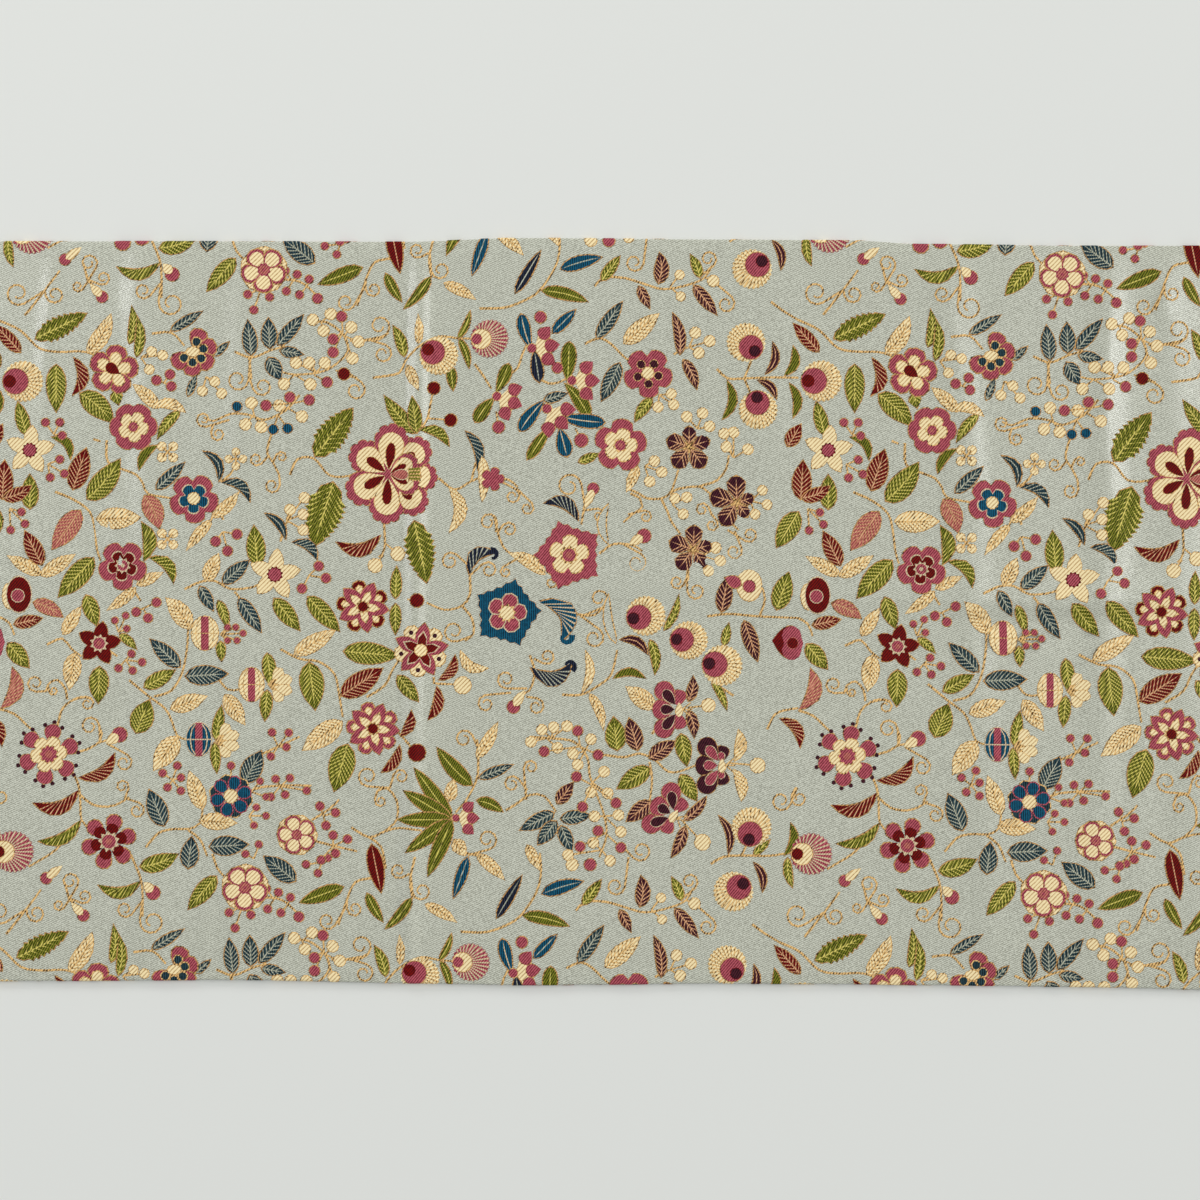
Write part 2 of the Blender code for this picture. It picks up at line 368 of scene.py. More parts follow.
def ribbon(thread, way, width, end_width=None):
    """A band of one thread along a way, with a raised middle, narrowing to end_width."""
    end_width = width if end_width is None else end_width
    lines = []
    for k, point in enumerate(way):
        slope = way[min(k + 1, len(way) - 1)] - way[max(k - 1, 0)]
        side = 1j * slope / abs(slope)
        half = (width + (end_width - width) * k / (len(way) - 1)) / 2
        lines.append((point - side * half, point, point + side * half))
    for one, two in zip(lines, lines[1:]):
        if detail["cord"]:
            paint(thread, [one[0], one[1], two[1], two[0]])
            paint(thread, [one[1], one[2], two[2], two[1]])
        else:
            paint(thread, [one[0], one[2], two[2], two[0]])


def leaf_form(u):
    """Share of a leaf's half width at share u of its length: round near the base, pointed at the tip."""
    return u ** 0.62 * (1 - u) ** 0.88 / 0.3697


def crescent_form(u):
    """The same for a crescent, which is pointed at both ends."""
    return math.sin(math.pi * u) ** 0.85


def spoon_form(u):
    """The same for a spoon or a drop: a point at the base and a round tip."""
    return math.sin(math.pi / 2 * u / 0.66) if u < 0.66 else math.sqrt(1 - ((u - 0.66) / 0.345) ** 2)


def leaf(base, tip, width, bend=0.0, thread="green", vein="vein", style="veined"):
    """A leaf. bend bows it to the right of the way to its tip, and style says what is drawn on it."""
    along = tip - base
    length = abs(along)
    side = 1j * along / length
    curved = abs(bend) > 0.11 * length
    slim = curved and width <= 4
    if slim:                        # a thin crescent, without side veins, bows more
        width, bend = width * 0.85, bend * 1.5
    elif curved and abs(bend) < 0.25 * length:  # narrower and more bowed, so that its inner side is hollow
        width, bend = width * 0.88, bend * 1.3
    form = crescent_form if curved else spoon_form if style in ("spoon", "obovate") else leaf_form

    def at(u, out, more=0.0):
        """Point at share u, at share out of the half width, and more millimetres to the right."""
        slope = along + side * bend * 4 * (1 - 2 * u)
        normal = 1j * slope / abs(slope)
        middle = base + along * u + side * bend * 4 * u * (1 - u)
        return middle + normal * (width / 2 * form(u) * out + more)

    pitch = detail["pitch"] * {"toothed": 1.35, "obovate": 1.15}.get(style, 1.0)
    veins = max(2, round(length / pitch)) if style in ("veined", "toothed", "obovate") and not slim else 0
    slant = min(0.36, (0.95 if curved else 0.42) * width / length)
    share = detail["vein"] * (1.4 if style == "toothed" or thread == "cream" else 1.0) / length
    plain = [0.12, 0.3, 0.5, 0.7, 0.87] if not veins else []
    starts = [0.05 + (0.88 - slant) * k / veins for k in range(veins)]
    tooth = 0.17 if style == "toothed" else 0.0

    def outline(more, shares):
        right = [at(u, 1 + t, more) for u, t in shares]
        left = [at(u, -1 - t, -more) for u, t in shares[::-1]]
        return [base - along / length * more * 1.3] + right + [tip + along / length * more * 1.6] + left

    tip_share = share if detail["cord"] else 0.0
    ends = [(u + slant, u + slant + tip_share) for u in starts]
    fine = [(u, t) for a, b in ends for u, t in ((a, -tooth), (b, tooth))[:2 if b > a else 1]]
    fine += [(u, 0) for u in plain]
    coarse = [((a + b) / 2, tooth / 2) for a, b in ends[::2]] + [(u, 0) for u in plain]
    if tooth and detail["cord"]:
        coarse = list(fine)
    if ends:
        fine = [(ends[0][0] * 0.4, 0)] + fine
        coarse = [(ends[0][0] * 0.35, 0)] + coarse
    if form is spoon_form:
        fine.append((0.97, 0))
        coarse.append((0.97, 0))
    paint("gold" if thread == "cream" else "rim", outline(RIM, coarse))
    if style == "outline":
        paint("ground", outline(-0.1, coarse))
        return
    paint(thread, outline(0.0, fine))
    half = detail["vein"] * (0.6 if veins else 0.5)
    if style == "dark" or curved and (not slim or thread == "green"):
        half = 0.0
    for (a, b), u in zip(ends, starts):
        if curved:
            inner = -1 if bend > 0 else 1
            if a < 0.93:
                paint(vein, [at(u, inner), at(u + share, inner), at(b, -inner), at(a, -inner)])
            continue
        for out in (1, -1):
            foot = [at(u, 0, out * half), at(u + share * 1.3, 0, out * half)]
            paint(vein, foot + [at(b, out * (1 + tooth)), at(a, out * (1 - tooth))][0 if b > a else 1:])
    if half:
        places = [v for u in starts for v in (u, u + share * 1.3)] or [0.25, 0.5, 0.75]
        right = [at(u, 0, half) for u in places]
        left = [at(u, 0, -half) for u in places[::-1]]
        paint(vein, [at(0.0, 0)] + right + [at(0.97, 0)] + left)


def disc(thread, middle, radius, rim=None, rim_width=RIM, corners=10, tall=1.0):
    """A round spot, with a rim of another thread."""
    corners = max(5, round(corners * detail["corners"]))
    ring = [complex(math.cos(a), tall * math.sin(a))
            for a in (2 * math.pi * k / corners for k in range(corners))]
    if rim and (detail["cord"] or radius > 3.3):
        paint(rim, [middle + p * radius for p in ring])
        radius -= rim_width
    paint(thread, [middle + p * radius for p in ring])


def lobed(middle, count, valley, top, turn=0.0, kind="round", steps=6):
    """A flower's outline with count lobes, between two radii."""
    steps = max(3 if kind != "star" else 2, round(steps * detail["steps"]))
    power, root = {"round": (2.0, 0.5), "soft": (2.0, 1.0), "point": (1.0, 0.92), "star": (1.0, 1.0)}[kind]
    points = []
    for k in range(count * steps):
        phase = (k % steps) / steps * 2 - 1
        radius = valley + (top - valley) * (1 - abs(phase) ** power) ** root
        points.append(middle + turned(turn + 360 * (k / steps - 0.5) / count, radius))
    return points


def whorl(thread, middle, count, inner, outer, width, turn=0.0, rim=None, belly=0.62, steps=9, spread=360):
    """Separate petals round a middle, each an egg whose wide end is outside."""
    steps = max(6, round(steps * detail["steps"]))
    for k in range(count):
        out = turned(turn + spread * k / count)
        reach = (outer - inner) / 2
        for name, more in ((rim, RIM), (thread, 0.0)):
            if name is None:
                continue
            egg = []
            for j in range(steps):
                a = 2 * math.pi * j / steps
                along = math.cos(a)
                wide = math.sin(a) * (1 + (belly - 0.5) * 1.6 * along)
                egg.append(middle + out * complex((inner + outer) / 2 + along * (reach + more),
                                                  wide * (width / 2 + more)))
            paint(name, egg)


def five_sided(middle, radius, turn):
    """The outline of a five-cornered flower whose sides are cut into four small teeth each."""
    teeth = 4
    points = []
    for k in range(5):
        corner, other = turned(turn + 72 * k, radius), turned(turn + 72 * (k + 1), radius)
        points.append(middle + corner)
        for j in range(1, 2 * teeth):
            u = j / (2 * teeth)
            bulge = (1.03 if j % 2 == 0 else 0.95) - 0.06 * math.sin(math.pi * u)
            points.append(middle + (corner + (other - corner) * u) * bulge)
    return points


def bloom(x, t, size, kind, turn=0.0):
    """A flower seen from the front: the kinds that the cloth repeats in different colours."""
    c = complex(x, t)

    def lobes(thread, count, valley, top, more=0.0, off=0.0, form="round", steps=6):
        paint(thread, lobed(c, count, size * valley, size * top + more, turn + off, form, steps))

    def petals(thread, count, inner, outer, width, off=0.0, *rest):
        whorl(thread, c, count, size * inner, size * outer, size * width, turn + off, *rest)

    def spot(thread, radius, corners=10, rim=None, rim_width=RIM, tall=1.0):
        disc(thread, c, size * radius, rim, rim_width, corners, tall)

    def eyes(reach, radius, off, *rest):
        for k in range(5):
            disc("plum", c + turned(turn + off + 72 * k, size * reach), size * radius, *rest)

    if kind == "rosette" or kind == "layered":  # rose scallops round cream petals
        count, valley = (6, 0.84) if kind == "rosette" else (5, 0.7)
        lobes("rim", count, valley + 0.03, 1, 0.3)
        lobes("rose", count, valley, 1, -0.1)
        lobes("gold", 5, 0.46, 0.66, 0, 10)
        lobes("cream", 5, 0.42, 0.61, 0, 10)
        lobes("gold", 6, 0.22, 0.29, 0, 0, "soft", 3)
        spot("rose", 0.21, 8)
        spot("salmon", 0.1, 6)
    elif kind == "cup":             # rose petals with cream in them, and a dark red drop in the middle
        petals("rose", 5, 0.1, 1, 0.78, 0, "rim", 0.72, 10)
        petals("cream", 5, 0.12, 0.7, 0.42, 0, "gold", 0.66, 8)
        drop("red", c + turned(35, size * 0.3), c + turned(215, size * 0.36), size * 0.44, "gold")
    elif kind == "eyed_blue":       # five rose petals on one side, each with a dark spot at its foot
        petals("rose", 5, 0.2, 1, 0.68, 0, "rim", 0.72, 10, 270)
        petals("navy", 5, 0.26, 0.62, 0.34, 0, "gold", 0.6, 8, 270)
        spot("cream", 0.32, 10, "gold", 0.4, 0.7)
    elif kind == "eyed_plum":       # rose scallops with a dark eye in each
        lobes("rim", 5, 0.7, 1, 0.3)
        lobes("rose", 5, 0.66, 1, -0.1)
        eyes(0.44, 0.19, 0, "gold", 0.3, 9)
        spot("cream", 0.27, 10, "gold", 0.4)
    elif kind == "blue_heart" or kind == "red_heart":   # rose lobes round darker ones
        lobes("rim", 5, 0.73, 1, 0.3)
        lobes("rose", 5, 0.69, 1, -0.1)
        lobes("pale", 5, 0.38, 0.65, 0, 6)
        lobes("blue" if kind == "blue_heart" else "red", 5, 0.34, 0.59, 0, 6)
        if kind == "blue_heart":
            spot("cream", 0.27, 10, "gold", 0.4)
        else:
            lobes("pale", 9, 0.24, 0.34, 0, 0, "star", 2)
            spot("rose", 0.22)
            spot("pale", 0.09, 6)
    elif kind == "cream_star":      # five pointed cream petals
        lobes("gold", 5, 0.5, 1, 0.4, 0, "point")
        lobes("cream", 5, 0.46, 1, -0.1, 0, "point")
        lobes("red", 11, 0.26, 0.33, 0, 0, "star", 2)
        spot("rose", 0.25)
    elif kind == "red_star":        # five pointed red petals round a pale rose heart
        lobes("rim", 5, 0.56, 1, 0.4, 0, "point")
        lobes("red", 5, 0.53, 1, -0.1, 0, "point")
        lobes("pale", 9, 0.3, 0.43, 0, 0, "star", 2)
        spot("rose", 0.27, 9)
        spot("salmon", 0.12, 6)
    elif kind == "double_star" or kind == "round_star":  # rose points on a cream star, petals between
        petals("red" if kind == "double_star" else "rose", 5, 0.5, 0.98, 0.46, 36, "rim", 0.7, 9)
        petals("cream", 5, 0.45, 0.8, 0.22, 36, "gold", 0.6, 7)
        lobes("rim", 5, 0.5, 1, 0.4, 0, "point")
        lobes("rose", 5, 0.47, 1, -0.1, 0, "point")
        lobes("gold", 5, 0.25, 0.68, 0, 0, "point", 4)
        lobes("cream", 5, 0.21, 0.62, 0, 0, "point", 4)
        lobes("rim", 9, 0.2, 0.28, 0, 0, "star", 2)
        spot("red", 0.19, 9)
    elif kind == "star_on_cream":   # a rose star with a red one in it, eyed cream petals between
        petals("cream", 5, 0.4, 0.94, 0.5, 36, "gold", 0.66, 9)
        eyes(0.72, 0.09, 36, None, RIM, 6)
        lobes("rim", 5, 0.44, 1, 0.4, 0, "point")
        lobes("rose", 5, 0.41, 1, -0.1, 0, "point")
        lobes("pale", 5, 0.28, 0.72, 0, 0, "point", 4)
        lobes("red", 5, 0.25, 0.64, 0, 0, "point", 4)
        spot("cream", 0.24, 9, "gold", 0.35)
    elif kind == "tasselled":       # cream petals, rose tufts, and dark dots on the tufts
        for k in range(6):
            way = turn + 60 * k
            for lean in (-17, 0, 17):
                disc("plum", c + turned(way + lean, size * (0.88 if lean else 0.97)), 0.95, corners=7)
            drop("rose", c + turned(way, size * 0.3), c + turned(way, size * 0.9), size * 0.47, "rim")
        lobes("gold", 6, 0.42, 0.56, 0, 12)
        lobes("cream", 6, 0.39, 0.52, 0, 12)
        lobes("gold", 9, 0.24, 0.3, 0, 0, "soft", 3)
        lobes("rose", 9, 0.2, 0.26, 0, 0, "soft", 3)
        spot("salmon", 0.12, 8)
    elif kind == "six_round":       # round rose petals over dark red ones
        petals("rose", 6, 0.4, 1, 0.55, 0, "rim", 0.58, 10)
        petals("red", 6, 0.22, 0.68, 0.46, 0, None, 0.6, 9)
        lobes("pale", 9, 0.28, 0.4, 0, 0, "star", 2)
        spot("rose", 0.26, 9)
        spot("salmon", 0.13, 6)
    elif kind == "ringed":          # cream petals, each with a rose ring
        petals("cream", 5, 0.5, 0.96, 0.58, 36, "gold", 0.6, 8)
        petals("rose", 5, 0.14, 0.95, 0.76, 0, "rim", 0.66, 10)
        petals("cream", 5, 0.18, 0.84, 0.58, 0, None, 0.66, 10)
        lobes("rose", 8, 0.24, 0.3, 0, 0, "star", 2)
        spot("salmon", 0.2, 8)
        spot("rose", 0.08, 6)
    elif kind == "blue_round":      # round blue petals with a rose line, navy ones between
        petals("navy", 6, 0.45, 1, 0.5, 30, "gold", 0.62, 8)
        petals("blue", 6, 0.3, 0.94, 0.52, 0, "rose", 0.62, 9)
        spot("cream", 0.35, 10, "gold", 0.4)
    elif kind == "pentagon":        # a five-cornered rose flower with cream petals in it
        paint("rim", five_sided(c, size + 0.3, turn))
        paint("rose", five_sided(c, size, turn))
        lobes("gold", 5, 0.36, 0.58, 0, 22)
        lobes("cream", 5, 0.33, 0.54, 0, 22)
        lobes("gold", 9, 0.2, 0.27, 0, 0, "soft", 3)
        spot("rose", 0.19, 9)
        spot("salmon", 0.1, 6)
    elif kind == "blue_star":       # a five-cornered blue flower with a rose one in it
        paint("rim", five_sided(c, size + 0.25, turn))
        paint("blue", five_sided(c, size, turn))
        petals("rose", 5, 0.1, 0.55, 0.42, 0, "pale", 0.62, 9)
        lobes("gold", 9, 0.2, 0.28, 0, 0, "star", 2)
        spot("cream", 0.2, 9)


def great_flower(x, t):
    """The largest flower: scalloped rose petals with a cream band and a dark red drop each."""
    c = complex(x, t)
    for petals in GREAT_PETALS:
        for way, reach, size, foot in petals:
            middle = c + turned(way, reach)
            drop("rim", c, middle + turned(way, size * 0.8), size * 2.1)
            paint("rim", lobed(middle, 9, size * 0.93, size * 1.05 + 0.3, way))
            drop("rose", c, middle + turned(way, size * 0.75), size * 2.0)
            paint("rose", lobed(middle, 9, size * 0.9, size * 1.04, way))
        for way, reach, size, foot in petals:
            middle = c + turned(way, reach)
            drop("cream", c + turned(way, reach * foot), middle + turned(way, size * 0.5), size * 1.5, "gold")
            drop("red", c + turned(way, reach * foot), middle - turned(way, size * 0.12), size * 0.56, "gold")
    drop("salmon", c + turned(2, 1.0), c + turned(2, 8.3), 4.0, "pale")
    block = ((8.4, -2.6j), (13.6, -2.9j), (13.6, 2.9j), (8.4, 2.6j))
    paint("gold", [c + turned(1, along) + across for along, across in block])
    for across in (-1.9, -0.65, 0.65, 1.9):
        ribbon("olive", [c + complex(8.7, across), c + complex(13.3, across * 1.1)], 0.8)


def drop(thread, foot, top, width, rim=None):
    """A drop: a point at its foot and a round top."""
    along = top - foot
    length = abs(along)
    side = 1j * along / length
    for name, more in ((rim, RIM * 0.7), (thread, 0.0)):
        if name is None:
            continue
        right, left = [], []
        for u in (0.3, 0.64, 0.82, 0.94) if not detail["cord"] else (0.25, 0.45, 0.64, 0.78, 0.9, 0.97):
            half = (width / 2 + more) * spoon_form(u)
            right.append(foot + along * u + side * half)
            left.append(foot + along * u - side * half)
        paint(name, [foot] + right + [top + along / length * more] + left[::-1])


def plum_cluster(x, t, turn, *reaches):
    """Five veined plum leaves round a gold middle, each with its own reach."""
    c = complex(x, t)
    for k, reach in enumerate(reaches):
        out = turned(turn + 72 * k)
        leaf(c + out * 1.2, c + out * reach, reach * 0.62 + 0.8, 0.0, "plum", "vein_tan", "obovate")
    for k in range(5):
        ribbon("gold", [c, c + turned(turn + 36 + 72 * k, 2.6)], 0.5)
    disc("gold", c, 0.8, corners=6)


def pansy(x, t, thread, eye, turn):
    """A flower seen from one side: three eyed petals, two plain ones, and a cream throat."""
    throat = complex(x, t)
    for way, reach, width, eye_width in PANSY_PETALS:
        foot = throat + turned(turn + way, reach * 0.25)
        drop(thread, foot, throat + turned(turn + way, reach + width * 0.95), width * 2.05, "rim")
        if abs(way) > 100 or thread == "plum":
            drop(eye, foot, throat + turned(turn + way, reach * 0.86 + 1.3), eye_width, "pale")
    drop("cream", throat - turned(turn + 90, 3.0), throat + turned(turn + 90, 3.0), 2.8, "gold")
    for way in (-30, 0, 30):
        ribbon("gold", [throat + turned(turn, 1.4), throat + turned(turn + way, 5.6)], 0.6)


def fan_flower(x, t, size, way, eye="plum", fringe="cream"):
    """A round flower: a fringe of fine threads, and a spot and an eye that lie against one side of it."""
    c = complex(x, t)
    thread, share, out = ("rose", 0.67, 0.36) if fringe == "cream" else ("cream", 0.55, 0.45)
    radius = size * share
    heart = c - turned(way, size * out)
    rays = 26 if detail["cord"] else 11
    steps = 3 if detail["cord"] else 2
    paint(fringe, lobed(c, rays, size * 0.95, size * 1.03, way, "soft", steps))
    for k in range(rays):
        end = c + turned(way + 360 * k / rays, size)
        towards = (end - heart) / abs(end - heart)
        if abs(end - heart) < radius + size * 0.14:
            continue
        start = heart + towards * radius
        side = 0.36j * towards
        ray = [start - side * 0.6, start + side * 0.6, end + side, end - side]
        paint("gold" if fringe == "cream" else "pale", ray)
    disc(thread, heart, radius, "rim" if thread == "rose" else "gold", 0.35, 16)
    eye_rim = "gold" if thread == "cream" else "red"
    disc(eye, heart - turned(way, radius * 0.42), size * 0.32, eye_rim, 0.3, 11)


def lily(x, t, way, size):
    """A cream bell that opens into three rose points, on a rose ball."""
    foot = complex(x, t)
    for thread, more in (("gold", RIM), ("cream", 0.0)):
        paint(thread, [foot + turned(way + out * (1 + more / 9), size * reach + more) for out, reach in BELL])
    for out in (-42, 42, 0):
        point = turned(way + out, size)
        drop("rose", foot + point, foot + turned(way + out, size * 0.46), size * 0.46, "rim")
    disc("rose", foot, size * 0.19, "gold", 0.35, 9)


def bud(x, t, to_x, to_t, width):
    """A rose bud in a cream cup, from its stalk to its tip."""
    base, tip = complex(x, t), complex(to_x, to_t)
    along = (tip - base) / abs(tip - base)
    disc("rose", tip - along * width * 0.5, width * 0.5, "rim", 0.35, 11)
    drop("cream", base, tip - along * width * 0.62, width * 0.56, "gold")


def berries(thread, radius, root_x, root_t, *places):
    """Berries on short twigs from one point."""
    root = complex(root_x, root_t)
    for x, t in zip(places[::2], places[1::2]):
        place = complex(x, t)
        if abs(place - root) > radius:
            ribbon("gold", [root, place], TWIG)
    for x, t in zip(places[::2], places[1::2]):
        disc(thread, complex(x, t), radius, "gold" if thread == "cream" else "rim", 0.4)


def tendril(root_x, root_t, x, t, radius):
    """A tendril that leaves a stem and winds in on itself: clockwise if radius is positive."""
    root, centre = complex(root_x, root_t), complex(x, t)
    sense = 1 if radius > 0 else -1
    away = root - centre
    start = math.degrees(cmath.phase(away))
    if abs(away) > abs(radius) * 1.02:
        start += sense * math.degrees(math.acos(abs(radius) / abs(away)))
    steps = max(8, round(abs(radius) * TENDRIL_TURNS * 6.2 / detail["step"]))
    way = []
    for k in range(steps + 1):
        u = k / steps
        reach = abs(radius) * (1 - 0.66 * u ** 1.2)
        way.append(centre + turned(start + sense * 360 * TENDRIL_TURNS * u, reach))
    lead = max(1, round(abs(way[0] - root) / detail["step"]))
    first = [root + (way[0] - root) * k / lead for k in range(lead)] if abs(way[0] - root) > 0.5 else []
    ribbon("gold", first + way, STEM * 0.9, STEM * 0.7)


def hook(thread, x, t, radius, start, sweep, width):
    """The rolled tip of an acanthus leaf: a band that narrows along an arc."""
    steps = max(3, round(abs(math.radians(sweep)) * radius * 1.6 / detail["step"]))
    way = [complex(x, t) + turned(start + sweep * k / steps, radius * (1 - 0.3 * k / steps))
           for k in range(steps + 1)]
    ribbon(thread, way, width, width * 0.45)


def stem(*places):
    """A gold stem through the given places."""
    points = [complex(x, t) for x, t in zip(places[::2], places[1::2])]
    ribbon("gold", smooth_way(points), STEM, STEM * 0.8)


def striped_ball(x, t, wide, tall, thread, band):
    """An upright fruit with a band down its middle."""
    c = complex(x, t)
    disc(thread, c, wide, "gold" if thread == "cream" else "pale", 0.4, 16, tall / wide)
    half = wide * 0.27
    if band:
        top = tall * 0.93
        corners = ((-half, -top), (half, -top), (half, top), (-half, top))
        paint(band, [c + complex(*corner) for corner in corners])
    if band and detail["cord"]:
        line, line_width = ("pale", 0.5) if thread == "blue" else ("gold", 0.36)
        for side in (-1, 1):
            arc = [c + complex(side * wide * 0.64 * math.cos(a), top * math.sin(a))
                   for a in (-1.2, -0.6, 0.0, 0.6, 1.2)]
            ribbon(line, arc, line_width)
        ribbon(line, [c - wide * 0.96, c + wide * 0.96], line_width)


def petal_fan(x, t, reach):
    """Four cream petals that open to the right."""
    c = complex(x, t)
    drop("gold", c, c + reach * 0.8, reach * 0.85)
    for way in (-46, 46, -15, 15):
        foot = c + turned(way, reach * 0.3)
        drop("cream", foot, c + turned(way, reach * (0.86 if abs(way) > 40 else 1.0)), reach * 0.4, "gold")


def trefoil(x, t, size, turn=0.0):
    """A small cream flower of four round petals on a gold cross."""
    c = complex(x, t)
    for way in (0, 90, 180, 270):
        disc("cream", c + turned(turn + way, size * 0.66), size * 0.42, "gold", 0.35, 9)
        ribbon("gold", [c, c + turned(turn + way, size * 0.6)], 0.9)


def palm(x, t, *tips):
    """A fan of smooth green leaves from one point."""
    for tip_x, tip_t in zip(tips[::2], tips[1::2]):
        leaf(complex(x, t), complex(tip_x, tip_t), 6.2, 0.0, "green", "vein", "smooth")


# ---- The chart's tables -------------------------------------------------------------------------------
BELL = (                        # a lily's outline: degrees off its way, share of its length
    (-30, 0.12), (-52, 0.4), (-60, 0.66), (-44, 0.62), (-22, 0.72), (0, 0.6), (22, 0.72), (44, 0.62),
    (60, 0.66), (52, 0.4), (30, 0.12),
)
PANSY_PETALS = (                # way, reach, width, width of the eye
    (95, 4.9, 3.4, 2.8), (-95, 4.9, 3.4, 2.8), (129, 10.4, 3.9, 3.9), (-129, 10.2, 3.9, 3.9),
    (180, 7.4, 3.9, 3.9),
)
GREAT_PETALS = (                # way, reach from the middle, radius, where the cream starts
    (
        (5, 14.6, 5.7, 0.66), (-38, 14.8, 6.2, 0.45), (47, 15, 6.2, 0.45), (-143, 11.8, 6.8, 0.12),
        (150, 12.2, 7, 0.12), (93, 13.6, 6.9, 0.12), (-84, 13.9, 6.9, 0.12),
    ),
    ((-27, 8.9, 4.4, 0.1), (26, 9.3, 4.4, 0.1)),
)

